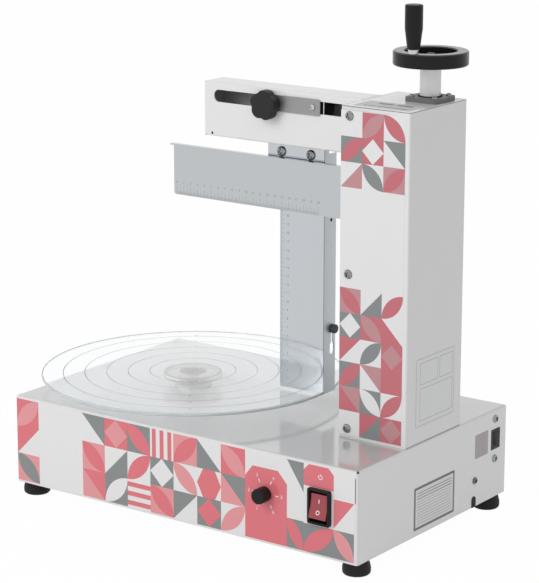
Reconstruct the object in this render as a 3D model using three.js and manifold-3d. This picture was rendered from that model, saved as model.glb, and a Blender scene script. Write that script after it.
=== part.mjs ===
// Cake icing smoother. A motor turns a cake on a clear plate, a hand crank lowers a cross blade
// from the column onto its top, and an upright blade on the arm smooths its side.
// Millimetres, +X to the right, +Y to the back, +Z up. The origin is under the middle of the
// whole machine, on the surface that its feet stand on.

import * as THREE from 'three';
import { mergeVertices } from 'three/addons/utils/BufferGeometryUtils.js';
import Module from 'manifold-3d';

const wasm = await Module();
wasm.setup();

// Clearances
const fit = 0.3; // between a piece and its seat
const bladeGap = 0.5; // between the two blades where they cross
const tipGap = 2.5; // between the upright blade and the plate
const reach = 2; // how far a cutting tool passes the wall that it cuts
const grain = 0.0005; // faces that are meant to meet are rounded onto each other by this

// Sheet metal
const sheet = 1.5;
const bend = 2.5;
const plateMetal = 6; // plates that carry bearings and rods

// Base
const baseWidth = 482;
const baseDepth = 306.2;
const baseForward = 151; // front wall ahead of the turntable axis
const baseHeight = 105;
const footHeight = 16;
const footRadius = 15.6;
const footTopRadius = 13.6;
const footRound = 3.4;
const footInsetLeft = 14.6;
const footInsetRight = 13;
const footInsetFront = 18;
const footInsetBack = 20.5;
const footStemRadius = 4;
const footStemLength = 5;

// Turntable
const turntableFromLeft = 144.8;
const plateRadius = 177.8;
const plateThickness = 3.2;
const plateEdge = 0.8;
const plateRise = 20; // plate top above the base top
const padThickness = 1.5;
const hubFlangeRadius = 34;
const hubFlangeHeight = 4;
const hubBossRadius = 16.5;
const shaftRadius = 6;
const shaftInHub = 8;
const shaftInGearbox = 20;
const bearingFlangeRadius = 22;
const bearingFlangeHeight = 2.5;
const bearingSleeveRadius = 10;
const bracketLength = 96;
const bracketWidth = 64;
const bracketThickness = 2;
const gearboxRadius = 30;
const gearboxHeight = 34;
const motorRadius = 18.5;
const motorHeight = 38;

// Speed control
const controlDrop = 48.2; // middle of the controls below the base top
const speedKnobFromRight = 121;
const speedKnobRadius = 8.7;
const speedKnobLength = 14;
const speedKnobOffWall = 1;
const potBodyRadius = 12;
const potBodyLength = 10;
const potBushRadius = 4.5;
const potBushLength = 4;
const stemRadius = 3;
const stemInBody = 6;
const boardLength = 90;
const boardWidth = 60;
const boardThickness = 1.6;
const boardRise = 8;
const boardPostRadius = 3;
const boardPostInset = 6;
const boardBlock = 26;
const boardX = 70;
const boardY = 50;

// Power switch
const switchFromRight = 48.2;
const bezelWidth = 28.5;
const bezelHeight = 40;
const bezelDepth = 4.5;
const bezelCorner = 2;
const rockerWidth = 22;
const rockerHeight = 27;
const rockerEnd = 4.5; // front of the rocker's ends ahead of its pivot
const rockerValley = 3; // front of the rocker's middle ahead of its pivot
const rockerBack = 4;
const rockerTilt = 12; // degrees, upper half pressed in
const rockerSideGap = 0.5;
const rockerEndGap = 3.9;
const switchWall = 1.6;
const switchBodyDepth = 24;
const switchPocketDepth = 8;

// Power inlet and edge grommet on the right side
const inletFromBack = 24.7;
const inletDrop = 35;
const inletWidth = 18;
const inletHeight = 23.5;
const inletWall = 2;
const inletProud = 0.8;
const inletDepth = 26;
const inletRecess = 13;
const inletFlangeWidth = 24;
const inletFlangeHeight = 58;
const inletFlangeThickness = 3;
const inletPinLength = 8;
const inletPinWidth = 4;
const inletPinThickness = 2;
const inletPinSpread = 4.5;
const grommetFromBack = 70.5;
const grommetWidth = 8;
const grommetHeight = 12.7;
const grommetLip = 1;
const grommetProud = 0.8;

// Column
const columnWidth = 88;
const columnDepth = 111;
const columnHeight = 368.4;
const columnInset = 1.5; // from the right side of the base
const columnForward = 2; // middle of the column ahead of the blade plane
const columnLip = 22;
const coverScrewInset = 11;
const coverScrewRise = 10; // lowest screw above the base
const screwHeadRadius = 4.9;
const screwHeadHeight = 2.6;
const screwRadius = 2.5;
const coverScrewLength = 9;

// Lift inside the column
const guideRodRadius = 6;
const guideRodFromLeft = 33.5;
const guideRodSpread = 32; // either side of the blade plane
const guideRodSeat = 4;
const leadScrewFromRight = 26.5;
const leadScrewFromBack = 31.5;
const leadScrewRadius = 6;
const lowerJournalRadius = 4;
const upperJournalRadius = 5;
const journalTail = 2;
const lowerBearingRadius = 14;
const lowerBearingHeight = 10;
const screwShoulderDrop = 6; // top of the thread below the head plate
const bushWall = 3;
const carriageWall = 3;
const carriageHeight = 36;
const leadNutWall = 4;
const leadNutFlangeWall = 8;
const leadNutFlangeHeight = 4;
const tongueThickness = 8;
const tongueOffWall = 1.5;
const bladeScrewRadius = 2;
const bladeScrewHeadRadius = 3.5;
const bladeScrewHeadHeight = 2.4;
const bladeScrewSpread = 9;

// Cross blade
const crossPastAxis = 24.4; // beyond the turntable axis
const crossHeight = 60.7;
const crossLowGap = 19.2; // above the plate, at its lowest
const crossScrewGap = 0.4; // below the hanger screws, at its highest
const crossFlange = 7;
const crossCorner = 3;
const bladeThickness = 1.5;
const slotMargin = 1.5;

// Handwheel
const flangeSide = 42;
const flangeCorner = 6;
const flangeThickness = 5;
const flangeScrewSpread = 14.5;
const flangeScrewRadius = 1.8;
const flangeScrewHeadRadius = 3;
const flangeScrewHeadHeight = 2.4;
const tubeRadius = 11.5;
const wheelRise = 38.9; // underside of the rim above the column top
const wheelRadius = 41;
const rimWidth = 12.5;
const rimHeight = 15.6;
const rimRound = 1.2;
const hubRadius = 12;
const hubDrop = 2; // underside of the hub below the rim
const hubHeight = 9;
const spokeCount = 3;
const spokeWidth = 9;
const spokeHeight = 5;
const wheelNutRadius = 7;
const wheelNutHeight = 5.5;
const wheelThreadRadius = 3;
const spindleRadius = 3;
const spindleInRim = 8;
const collarRadius = 5.9;
const collarHeight = 4.7;
const gripFootRadius = 6.8;
const gripRadius = 9.7;
const gripTaper = 22;
const gripLength = 47.3;
const gripBoreDepth = 40;
const gripRound = 1;

// Arm
const armReach = 213;
const armDepth = 37;
const armHeight = 62;
const armAboveColumn = 0.9;
const slotHeight = 14;
const slotDrop = 15.3; // middle of the slot below the arm top
const slotInset = 13.2;
const mouthFront = 8;
const mouthBack = 10;

// Upright blade, its slider and its clamp
const edgeFromAxis = 126.2; // working edge from the turntable axis
const uprightWidth = 61;
const headWidth = 78;
const headHeight = 42;
const headInArm = 14.7;
const uprightFlange = 22.5;
const flangeBelowArm = 9;
const flangeNeck = 8; // part of the flange that goes up into the arm
const hangerThickness = 3;
const hangerSide = 3; // hanger edges inside the blade's head
const hangerOverlap = 38; // hanger below the arm's underside
const hangerScrewSpread = 20;
const hangerScrewDrop = 11.2; // below the arm's underside
const hangerHeadRadius = 5.8;
const blockHeight = 26;
const blockLeft = 1; // left end right of the head's left edge
const blockRight = 6; // right end right of the head's right edge
const strapLength = 80;
const strapHeight = 18;
const strapCorner = 3;
const strapEndInset = 10;
const strapRight = 7; // right end right of the head's right edge
const strapScrewRadius = 2;
const strapScrewHeadRadius = 3.6;
const strapScrewHeadHeight = 2.4;
const strapScrewTail = 3;
const starRadius = 16.9;
const starLobes = 5;
const starLobeDepth = 2.2;
const starTurn = 10.5; // degrees
const starDepth = 12;
const starBevel = 1.5;
const studRadius = 3;
const studDrop = 2.3; // stud below the middle of the slot
const studInKnob = 7;
const studInBlock = 12;

// Small knob in the slot of the upright blade's flange
const runnerRise = 74.2; // slot middle's top end above the blade's lower edge
const runnerTravel = 28;
const runnerFromBack = 6.5;
const runnerRadius = 1.5;
const runnerNutSide = 11;
const runnerNutThickness = 4;
const keyholeWidth = 8; // where the slot widens at its lower end
const keyholeHeight = 14;
const thumbRadius = 5.2;
const thumbLength = 5.8;
const thumbBore = 4.4;
const flangeHoleRadius = 2;
const flangeHoleRise = 200.2; // above the blade's lower edge
const flangeHoleFromBack = 9.5;

// Facets of round pieces
const fineSides = 64;
const sides = 24;
const smallSides = 16;
const cornerSteps = 3;

// Places that follow from the sizes
const baseTop = footHeight + baseHeight;
const baseRight = baseWidth / 2;
const baseFront = -baseForward;
const baseBack = baseDepth - baseForward;
const turntableX = -baseWidth / 2 + turntableFromLeft;
const controlZ = baseTop - controlDrop;
const columnX = baseRight - columnInset - columnWidth / 2;
const columnLeft = -columnWidth / 2;
const columnRight = columnWidth / 2;
const columnFront = -columnDepth / 2;
const columnBack = columnDepth / 2;
const bladeY = columnForward; // the blade plane, seen from the column's middle
const guideRodX = columnLeft + guideRodFromLeft;
const leadScrewX = columnRight - leadScrewFromRight;
const leadScrewY = columnBack - leadScrewFromBack;
const wheelX = columnX + leadScrewX;
const machineLeft = turntableX - plateRadius;
const machineRight = wheelX + wheelRadius;
const machineMiddle = (machineLeft + machineRight) / 2;

// Finishes
function finish(color, roughness, metalness) {
  return new THREE.MeshStandardMaterial({ color, roughness, metalness });
}
const whitePaint = finish(0xe6e4e2, 0.35, 0.1);
const steel = finish(0xbcc2c6, 0.22, 1);
const greySteel = finish(0x8c9094, 0.4, 0.9);
const castIron = finish(0x5f5f5f, 0.5, 0.6);
const brass = finish(0xb89a55, 0.35, 0.9);
const aluminium = finish(0xc4c6c8, 0.4, 0.8);
const blackPlastic = finish(0x242424, 0.5, 0);
const greyPlastic = finish(0x5c5c5c, 0.55, 0);
const rubber = finish(0x1c1c1c, 0.85, 0);
const redPlastic = finish(0xa83a48, 0.3, 0);
const greenBoard = finish(0x2f6b45, 0.6, 0);
const clearGlass = new THREE.MeshStandardMaterial({
  color: 0xdfe8e8,
  roughness: 0.05,
  metalness: 0,
  transparent: true,
  opacity: 0.35,
});

// A closed geometry as a solid that can be joined and cut
function toSolid(geometry) {
  const bare = geometry.index ? geometry.toNonIndexed() : geometry.clone();
  bare.deleteAttribute('normal');
  bare.deleteAttribute('uv');
  const places = bare.attributes.position.array;
  places.set(places.map((value) => Math.round(value / grain) * grain));
  const merged = mergeVertices(bare);
  const vertProperties = merged.attributes.position.array;
  const triVerts = new Uint32Array(merged.index.array);
  return new wasm.Manifold(new wasm.Mesh({ numProp: 3, vertProperties, triVerts }));
}

function toGeometry(solid) {
  const { vertProperties, triVerts } = solid.getMesh();
  const geometry = new THREE.BufferGeometry();
  geometry.setAttribute('position', new THREE.BufferAttribute(new Float32Array(vertProperties), 3));
  geometry.setIndex(new THREE.BufferAttribute(new Uint32Array(triVerts), 1));
  geometry.computeVertexNormals();
  return geometry;
}

function join(...parts) {
  return toGeometry(parts.map(toSolid).reduce((whole, part) => whole.add(part)));
}

function cut(body, ...tools) {
  return toGeometry(tools.map(toSolid).reduce((rest, tool) => rest.subtract(tool), toSolid(body)));
}

// Basic forms
function box(x0, x1, y0, y1, z0, z1) {
  const geometry = new THREE.BoxGeometry(x1 - x0, y1 - y0, z1 - z0);
  return geometry.translate((x0 + x1) / 2, (y0 + y1) / 2, (z0 + z1) / 2);
}

// A turned piece about Z, from [radius, height] points with the material on their left
function turned(points, facets = sides) {
  const profile = points.map(([radius, height]) => new THREE.Vector2(radius, height));
  return new THREE.LatheGeometry(profile, facets).rotateX(Math.PI / 2);
}

function rod(radius, z0, z1, facets = sides) {
  return turned([[0, z0], [radius, z0], [radius, z1], [0, z1]], facets);
}

function ring(inner, outer, z0, z1, facets = sides) {
  return turned([[inner, z0], [outer, z0], [outer, z1], [inner, z1], [inner, z0]], facets);
}

function roundedRect(x0, x1, y0, y1, radius) {
  const shape = new THREE.Shape();
  const right = Math.PI / 2;
  shape.moveTo(x0 + radius, y0);
  shape.absarc(x1 - radius, y0 + radius, radius, -right, 0, false);
  shape.absarc(x1 - radius, y1 - radius, radius, 0, right, false);
  shape.absarc(x0 + radius, y1 - radius, radius, right, 2 * right, false);
  shape.absarc(x0 + radius, y0 + radius, radius, 2 * right, 3 * right, false);
  return shape;
}

function extruded(shape, z0, z1, curveSegments = cornerSteps) {
  const options = { depth: z1 - z0, bevelEnabled: false, curveSegments };
  return new THREE.ExtrudeGeometry(shape, options).translate(0, 0, z0);
}

const axisX = new THREE.Vector3(1, 0, 0);
const axisY = new THREE.Vector3(0, 1, 0);
const axisZ = new THREE.Vector3(0, 0, 1);

// Lays a form so that its height runs along +X and its plan lies in Y and Z
function facingRight(geometry) {
  return geometry.applyMatrix4(new THREE.Matrix4().makeBasis(axisY, axisZ, axisX));
}

// Lays a form so that its height runs along -Y, towards the front, and its plan lies in X and Z
function facingFront(geometry) {
  return geometry.applyMatrix4(new THREE.Matrix4().makeBasis(axisX, axisZ, axisY.clone().negate()));
}

// A pan-head screw about Z, its head above z = 0 and its shank below
function panScrew(headRadius, headHeight, shankRadius, shankLength) {
  const shoulder = headHeight / 2;
  const crown = headRadius * 0.7;
  return turned([
    [0, -shankLength],
    [shankRadius, -shankLength],
    [shankRadius, 0],
    [headRadius, 0],
    [headRadius, shoulder],
    [crown, headHeight],
    [0, headHeight],
  ], smallSides);
}

// Scene graph
function group(parent, x, y, z) {
  const made = new THREE.Group();
  made.position.set(x, y, z);
  parent.add(made);
  return made;
}

function piece(parent, name, geometry, material, x = 0, y = 0, z = 0) {
  const mesh = new THREE.Mesh(geometry, material);
  mesh.name = name;
  mesh.position.set(x, y, z);
  parent.add(mesh);
  return mesh;
}

const machine = new THREE.Group();
const whole = group(machine, -machineMiddle, 0, 0);

// Sizes of the power switch that follow from its rocker
const pocketWidth = rockerWidth + 2 * rockerSideGap;
const pocketHeight = rockerHeight + 2 * rockerEndGap;
const switchBodyWidth = pocketWidth + 2 * switchWall;
const switchBodyHeight = pocketHeight + 2 * switchWall;

// Base housing: a folded box with bent edges, open below
function baseHousing() {
  const corner = bend + fit;
  const outline = roundedRect(-baseRight, baseRight, baseFront, baseBack, corner);
  const folded = new THREE.ExtrudeGeometry(outline, {
    depth: baseHeight - bend,
    bevelThickness: bend,
    bevelSize: bend,
    bevelOffset: -bend,
    bevelSegments: cornerSteps,
    curveSegments: cornerSteps,
  }).translate(0, 0, footHeight);
  const under = box(-baseWidth, baseWidth, -baseDepth, baseDepth, footHeight - baseHeight, footHeight);
  const cavity = box(
    -baseRight + sheet, baseRight - sheet, baseFront + sheet, baseBack - sheet, 0, baseTop - sheet,
  );
  const shaftHole = rod(bearingSleeveRadius + fit, baseTop - sheet - reach, baseTop + reach)
    .translate(turntableX, 0, 0);
  const bushHole = facingFront(rod(potBushRadius + fit, -sheet - reach, reach, smallSides))
    .translate(baseRight - speedKnobFromRight, baseFront, controlZ);
  const switchHole = box(
    -switchBodyWidth / 2 - fit, switchBodyWidth / 2 + fit, -reach, sheet + reach,
    -switchBodyHeight / 2 - fit, switchBodyHeight / 2 + fit,
  ).translate(baseRight - switchFromRight, baseFront, controlZ);
  const inletHole = box(
    -sheet - reach, reach, -inletWidth / 2 - fit, inletWidth / 2 + fit,
    -inletHeight / 2 - fit, inletHeight / 2 + fit,
  ).translate(baseRight, baseBack - inletFromBack, baseTop - inletDrop);
  const notch = facingRight(extruded(grommetOutline(fit - grommetLip), -sheet - reach, reach, smallSides))
    .translate(baseRight, baseBack - grommetFromBack, footHeight);
  return cut(folded, under, cavity, shaftHole, bushHole, switchHole, inletHole, notch);
}

// A doorway outline that stands on the lower edge, grown by a margin
function grommetOutline(margin) {
  const half = grommetWidth / 2 + margin;
  const rise = grommetHeight - grommetWidth / 2;
  const shape = new THREE.Shape();
  shape.moveTo(-half, -reach);
  shape.lineTo(half, -reach);
  shape.absarc(0, rise, half, 0, Math.PI, false);
  return shape;
}

// Bottom plate with holes for the stems of the feet
const footPlaces = [
  ['foot_front_left', -baseRight + footInsetLeft, baseFront + footInsetFront],
  ['foot_front_right', baseRight - footInsetRight, baseFront + footInsetFront],
  ['foot_rear_left', -baseRight + footInsetLeft, baseBack - footInsetBack],
  ['foot_rear_right', baseRight - footInsetRight, baseBack - footInsetBack],
];

function bottomPlate() {
  const inX = baseRight - sheet - fit;
  const inFront = baseFront + sheet + fit;
  const inBack = baseBack - sheet - fit;
  const flat = box(-inX, inX, inFront, inBack, footHeight, footHeight + sheet);
  const holes = footPlaces.map(([, x, y]) => rod(
    footStemRadius + fit, footHeight - reach, footHeight + sheet + reach, smallSides,
  ).translate(x, y, 0));
  const clear = grommetWidth / 2 + fit;
  const grommetRoom = box(inX - grommetLip - fit, inX + reach, -clear, clear, 0, baseTop)
    .translate(0, baseBack - grommetFromBack, 0);
  return cut(flat, ...holes, grommetRoom);
}

function foot() {
  const profile = [[0, 0]];
  for (let step = 0; step <= cornerSteps; step += 1) {
    const angle = (step / cornerSteps) * (Math.PI / 2);
    const radius = footRadius - footRound + footRound * Math.sin(angle);
    profile.push([radius, footRound - footRound * Math.cos(angle)]);
  }
  profile.push([footRadius, footHeight / 2]);
  profile.push([footTopRadius, footHeight]);
  profile.push([footStemRadius, footHeight]);
  profile.push([footStemRadius, footHeight + footStemLength]);
  profile.push([0, footHeight + footStemLength]);
  return turned(profile);
}

piece(whole, 'base_housing', baseHousing(), whitePaint);
piece(whole, 'bottom_plate', bottomPlate(), greySteel);
for (const [name, x, y] of footPlaces) {
  piece(whole, name, foot(), rubber, x, y, 0);
}

// Turntable and its drive, about the turntable axis, with z = 0 at the base top
const turntable = group(whole, turntableX, 0, baseTop);
const plateUnder = plateRise - plateThickness;
const hubTop = plateUnder - padThickness;
const hubUnder = bearingFlangeHeight + bladeGap;
const hubBoreTop = hubUnder + shaftInHub;
const gearboxTop = -sheet - bracketThickness;
const shaftBore = shaftRadius + fit;

piece(turntable, 'motor_bracket', cut(
  box(-bracketLength / 2, bracketLength / 2, -bracketWidth / 2, bracketWidth / 2, gearboxTop, -sheet),
  rod(shaftBore, gearboxTop - reach, -sheet + reach),
), greySteel);

piece(turntable, 'gearmotor', turned([
  [0, gearboxTop - gearboxHeight - motorHeight],
  [motorRadius, gearboxTop - gearboxHeight - motorHeight],
  [motorRadius, gearboxTop - gearboxHeight],
  [gearboxRadius, gearboxTop - gearboxHeight],
  [gearboxRadius, gearboxTop],
  [shaftBore, gearboxTop],
  [shaftBore, gearboxTop - shaftInGearbox],
  [0, gearboxTop - shaftInGearbox],
]), greySteel);

piece(turntable, 'shaft_bearing', turned([
  [shaftBore, -sheet],
  [bearingSleeveRadius, -sheet],
  [bearingSleeveRadius, 0],
  [bearingFlangeRadius, 0],
  [bearingFlangeRadius, bearingFlangeHeight],
  [shaftBore, bearingFlangeHeight],
  [shaftBore, -sheet],
]), castIron);

piece(turntable, 'drive_shaft', rod(
  shaftRadius, gearboxTop - shaftInGearbox + fit, hubBoreTop - fit,
), steel);

piece(turntable, 'turntable_hub', turned([
  [shaftBore, hubUnder],
  [hubBossRadius, hubUnder],
  [hubBossRadius, hubTop - hubFlangeHeight],
  [hubFlangeRadius, hubTop - hubFlangeHeight],
  [hubFlangeRadius, hubTop],
  [0, hubTop],
  [0, hubBoreTop],
  [shaftBore, hubBoreTop],
  [shaftBore, hubUnder],
]), greyPlastic);

piece(turntable, 'hub_pad', ring(hubBossRadius, hubFlangeRadius, hubTop, plateUnder), rubber);

piece(turntable, 'cake_plate', turned([
  [0, plateUnder],
  [plateRadius - plateEdge, plateUnder],
  [plateRadius, plateUnder + plateEdge],
  [plateRadius, plateRise - plateEdge],
  [plateRadius - plateEdge, plateRise],
  [0, plateRise],
], 2 * fineSides), clearGlass);

// Speed control on the front wall, its heights running forward from the wall's face
const speed = group(whole, baseRight - speedKnobFromRight, baseFront, controlZ);
const potBack = -sheet - potBodyLength;
const stemEnd = -sheet - stemInBody;

piece(speed, 'potentiometer', facingFront(turned([
  [0, potBack],
  [potBodyRadius, potBack],
  [potBodyRadius, -sheet],
  [potBushRadius, -sheet],
  [potBushRadius, potBushLength],
  [stemRadius + fit, potBushLength],
  [stemRadius + fit, stemEnd],
  [0, stemEnd],
])), greySteel);

piece(speed, 'speed_knob', facingFront(turned([
  [0, stemEnd + fit],
  [stemRadius, stemEnd + fit],
  [stemRadius, potBushLength + fit],
  [potBushRadius + fit, potBushLength + fit],
  [potBushRadius + fit, speedKnobOffWall],
  [speedKnobRadius, speedKnobOffWall],
  [speedKnobRadius, speedKnobOffWall + speedKnobLength - gripRound],
  [speedKnobRadius - gripRound, speedKnobOffWall + speedKnobLength],
  [0, speedKnobOffWall + speedKnobLength],
])), blackPlastic);

// Control board on four posts that stand on the bottom plate
function controlBoard() {
  const floor = footHeight + sheet;
  const x = boardLength / 2;
  const y = boardWidth / 2;
  const board = box(-x, x, -y, y, floor + boardRise, floor + boardRise + boardThickness);
  const block = box(-boardBlock, 0, -boardBlock / 2, boardBlock / 2, floor + boardRise, floor + boardBlock);
  const posts = [[-1, -1], [1, -1], [-1, 1], [1, 1]].map(([sideX, sideY]) => rod(
    boardPostRadius, floor, floor + boardRise + boardThickness / 2, smallSides,
  ).translate(sideX * (x - boardPostInset), sideY * (y - boardPostInset), 0));
  return join(board, block, ...posts);
}
piece(whole, 'control_board', controlBoard(), greenBoard, boardX, boardY, 0);

// Power switch on the front wall
const power = group(whole, baseRight - switchFromRight, baseFront, controlZ);

function switchHousing() {
  const bezel = facingFront(extruded(
    roundedRect(-bezelWidth / 2, bezelWidth / 2, -bezelHeight / 2, bezelHeight / 2, bezelCorner),
    0, bezelDepth,
  ));
  const bodyX = switchBodyWidth / 2;
  const bodyZ = switchBodyHeight / 2;
  const body = box(-bodyX, bodyX, -bezelDepth / 2, switchBodyDepth, -bodyZ, bodyZ);
  const pocketX = pocketWidth / 2;
  const pocketZ = pocketHeight / 2;
  const pocket = box(-pocketX, pocketX, -bezelDepth - reach, switchPocketDepth, -pocketZ, pocketZ);
  return cut(join(bezel, body), pocket);
}

function powerRocker() {
  const half = rockerHeight / 2;
  const side = new THREE.Shape([
    new THREE.Vector2(rockerBack, -half),
    new THREE.Vector2(rockerBack, half),
    new THREE.Vector2(-rockerEnd, half),
    new THREE.Vector2(-rockerValley, 0),
    new THREE.Vector2(-rockerEnd, -half),
  ]);
  return facingRight(extruded(side, -rockerWidth / 2, rockerWidth / 2));
}

piece(power, 'switch_housing', switchHousing(), blackPlastic);
const rocker = piece(power, 'power_rocker', powerRocker(), redPlastic);
rocker.rotation.x = THREE.MathUtils.degToRad(-rockerTilt);

// Power inlet in the right wall: a recessed socket with three flat pins
function powerInlet() {
  const halfY = inletWidth / 2;
  const halfZ = inletHeight / 2;
  const body = box(-inletDepth, inletProud, -halfY, halfY, -halfZ, halfZ);
  const flange = box(
    -sheet - inletFlangeThickness, -sheet, -inletFlangeWidth / 2, inletFlangeWidth / 2,
    -inletFlangeHeight / 2, inletFlangeHeight / 2,
  );
  const recess = box(
    -inletRecess, inletProud + reach, -halfY + inletWall, halfY - inletWall,
    -halfZ + inletWall, halfZ - inletWall,
  );
  const places = [[0, inletPinSpread], [0, -inletPinSpread], [inletPinSpread / 2, 0]];
  const pins = places.map(([y, z]) => box(
    -inletRecess - reach, -inletRecess + inletPinLength, -inletPinThickness / 2, inletPinThickness / 2,
    -inletPinWidth / 2, inletPinWidth / 2,
  ).translate(0, y, z));
  return join(cut(join(body, flange), recess), ...pins);
}
const inlet = group(whole, baseRight, baseBack - inletFromBack, baseTop - inletDrop);
piece(inlet, 'power_inlet', powerInlet(), blackPlastic);

// Rubber grommet in the notch at the wall's lower edge
function edgeGrommet() {
  const below = box(-baseWidth, baseWidth, -baseDepth, baseDepth, -reach * 2, 0);
  const core = extruded(grommetOutline(-grommetLip), -sheet - grommetLip, grommetProud, smallSides);
  const lip = extruded(grommetOutline(0), 0, grommetProud, smallSides);
  return cut(facingRight(join(core, lip)), below);
}
piece(whole, 'edge_grommet', edgeGrommet(), rubber, baseRight, baseBack - grommetFromBack, footHeight);

// Column on the base top, about its middle
const column = group(whole, columnX, -columnForward, baseTop);
const headUnder = columnHeight - plateMetal;
const coverScrewX = columnLeft + coverScrewInset;
const coverScrewHeights = [
  ['cover_screw_top', columnHeight - coverScrewInset],
  ['cover_screw_middle', columnHeight / 2],
  ['cover_screw_bottom', coverScrewRise],
];
const slotFront = bladeY - bladeThickness - crossFlange - slotMargin;
const slotBack = bladeY + slotMargin;
const armBottom = columnHeight + armAboveColumn - armHeight;
const crossTop = armBottom - hangerScrewDrop - hangerHeadRadius - crossScrewGap;
const crossRise = crossTop - crossHeight;

function coverScrewHoles() {
  return coverScrewHeights.map(([, z]) => facingFront(rod(
    screwRadius + fit, -coverScrewLength - reach, reach, smallSides,
  )).translate(coverScrewX, columnFront, z));
}

// Front and right sides in one folded sheet
function columnCover() {
  const inner = bend - sheet;
  const turn = Math.PI / 2;
  const plan = new THREE.Shape();
  plan.moveTo(columnLeft, columnFront);
  plan.absarc(columnRight - bend, columnFront + bend, bend, -turn, 0, false);
  plan.lineTo(columnRight, columnBack);
  plan.lineTo(columnRight - sheet, columnBack);
  plan.absarc(columnRight - bend, columnFront + bend, inner, 0, -turn, true);
  plan.lineTo(columnLeft, columnFront + sheet);
  return cut(extruded(plan, 0, columnHeight), ...coverScrewHoles());
}

// Left and back sides with lips behind the cover, and the slot that the cross blade moves in
function columnShell() {
  const front = columnFront + sheet + fit;
  const right = columnRight - sheet - fit;
  const lipBottom = plateMetal + fit;
  const lipTop = headUnder - fit;
  const leftWall = box(columnLeft, columnLeft + sheet, front, columnBack, 0, columnHeight);
  const backWall = box(columnLeft, right, columnBack - sheet, columnBack, 0, columnHeight);
  const frontLip = box(columnLeft, columnLeft + columnLip, front, front + sheet, lipBottom, lipTop);
  const rearLip = box(right - sheet, right, columnBack - columnLip, columnBack, lipBottom, lipTop);
  const bladeSlot = box(
    columnLeft - reach, columnLeft + sheet + reach, slotFront, slotBack,
    plateRise + crossLowGap - slotMargin, crossTop + slotMargin,
  );
  return cut(join(leftWall, backWall, frontLip, rearLip), bladeSlot, ...coverScrewHoles());
}

const guideRodPlaces = [
  ['front', guideRodX, bladeY - guideRodSpread],
  ['rear', guideRodX, bladeY + guideRodSpread],
];

function carrierPlate(z0, z1) {
  const clear = sheet + fit;
  return box(
    columnLeft + clear, columnRight - clear, columnFront + clear, columnBack - clear, z0, z1,
  );
}

function rodSeats(z0, z1) {
  return guideRodPlaces.map(([, x, y]) => rod(guideRodRadius + fit, z0, z1).translate(x, y, 0));
}

const flangeScrewPlaces = [];
for (const sideY of [-1, 1]) {
  for (const sideX of [-1, 1]) {
    flangeScrewPlaces.push([
      leadScrewX + sideX * flangeScrewSpread, leadScrewY + sideY * flangeScrewSpread,
    ]);
  }
}

function flangeScrewHoles(z0, z1) {
  return flangeScrewPlaces.map(([x, y]) => rod(flangeScrewRadius + fit, z0, z1, smallSides)
    .translate(x, y, 0));
}

function columnHead() {
  const journal = rod(upperJournalRadius + fit, headUnder - reach, columnHeight + reach)
    .translate(leadScrewX, leadScrewY, 0);
  return cut(
    carrierPlate(headUnder, columnHeight), journal,
    ...rodSeats(headUnder - reach, headUnder + guideRodSeat),
    ...flangeScrewHoles(headUnder - reach, columnHeight + reach),
  );
}

piece(column, 'column_cover', columnCover(), whitePaint);
piece(column, 'column_shell', columnShell(), whitePaint);
for (const [name, z] of coverScrewHeights) {
  const screw = facingFront(panScrew(screwHeadRadius, screwHeadHeight, screwRadius, coverScrewLength));
  piece(column, name, screw, steel, coverScrewX, columnFront, z);
}
piece(column, 'column_head', columnHead(), whitePaint);
piece(column, 'column_foot', cut(
  carrierPlate(0, plateMetal), ...rodSeats(plateMetal - guideRodSeat, plateMetal + reach),
), greySteel);
for (const [place, x, y] of guideRodPlaces) {
  const guideRod = rod(
    guideRodRadius, plateMetal - guideRodSeat + fit, headUnder + guideRodSeat - fit,
  );
  piece(column, `guide_rod_${place}`, guideRod, steel, x, y, 0);
}

// Lead screw, bearings and handwheel, about the screw's axis
const crank = group(column, leadScrewX, leadScrewY, 0);
const bearingTop = plateMetal + lowerBearingHeight;
const flangeTop = columnHeight + flangeThickness;
const rimBottom = columnHeight + wheelRise;
const rimTop = rimBottom + rimHeight;
const hubBottom = rimBottom - hubDrop;
const wheelHubTop = hubBottom + hubHeight;
const gripRadiusOnRim = wheelRadius - rimWidth / 2;
const journalBore = upperJournalRadius + fit;

piece(crank, 'lower_bearing', ring(
  lowerJournalRadius + fit, lowerBearingRadius, plateMetal, bearingTop,
), greySteel);

piece(crank, 'lead_screw', turned([
  [0, plateMetal + journalTail],
  [lowerJournalRadius, plateMetal + journalTail],
  [lowerJournalRadius, bearingTop + fit],
  [leadScrewRadius, bearingTop + fit],
  [leadScrewRadius, headUnder - screwShoulderDrop],
  [upperJournalRadius, headUnder - screwShoulderDrop],
  [upperJournalRadius, wheelHubTop],
  [wheelThreadRadius, wheelHubTop],
  [wheelThreadRadius, wheelHubTop + wheelNutHeight / 2],
  [0, wheelHubTop + wheelNutHeight / 2],
]), steel);

piece(crank, 'flange_bearing', cut(
  extruded(
    roundedRect(-flangeSide / 2, flangeSide / 2, -flangeSide / 2, flangeSide / 2, flangeCorner),
    columnHeight, flangeTop,
  ),
  rod(journalBore, columnHeight - reach, flangeTop + reach),
  ...flangeScrewHoles(columnHeight - reach, flangeTop + reach)
    .map((hole) => hole.translate(-leadScrewX, -leadScrewY, 0)),
), castIron);

flangeScrewPlaces.forEach(([x, y], index) => {
  const screw = panScrew(
    flangeScrewHeadRadius, flangeScrewHeadHeight, flangeScrewRadius, flangeThickness + plateMetal / 2,
  );
  piece(column, `flange_screw_${index + 1}`, screw, steel, x, y, flangeTop);
});

piece(crank, 'spacer_tube', ring(journalBore, tubeRadius, flangeTop, hubBottom - fit), aluminium);

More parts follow.
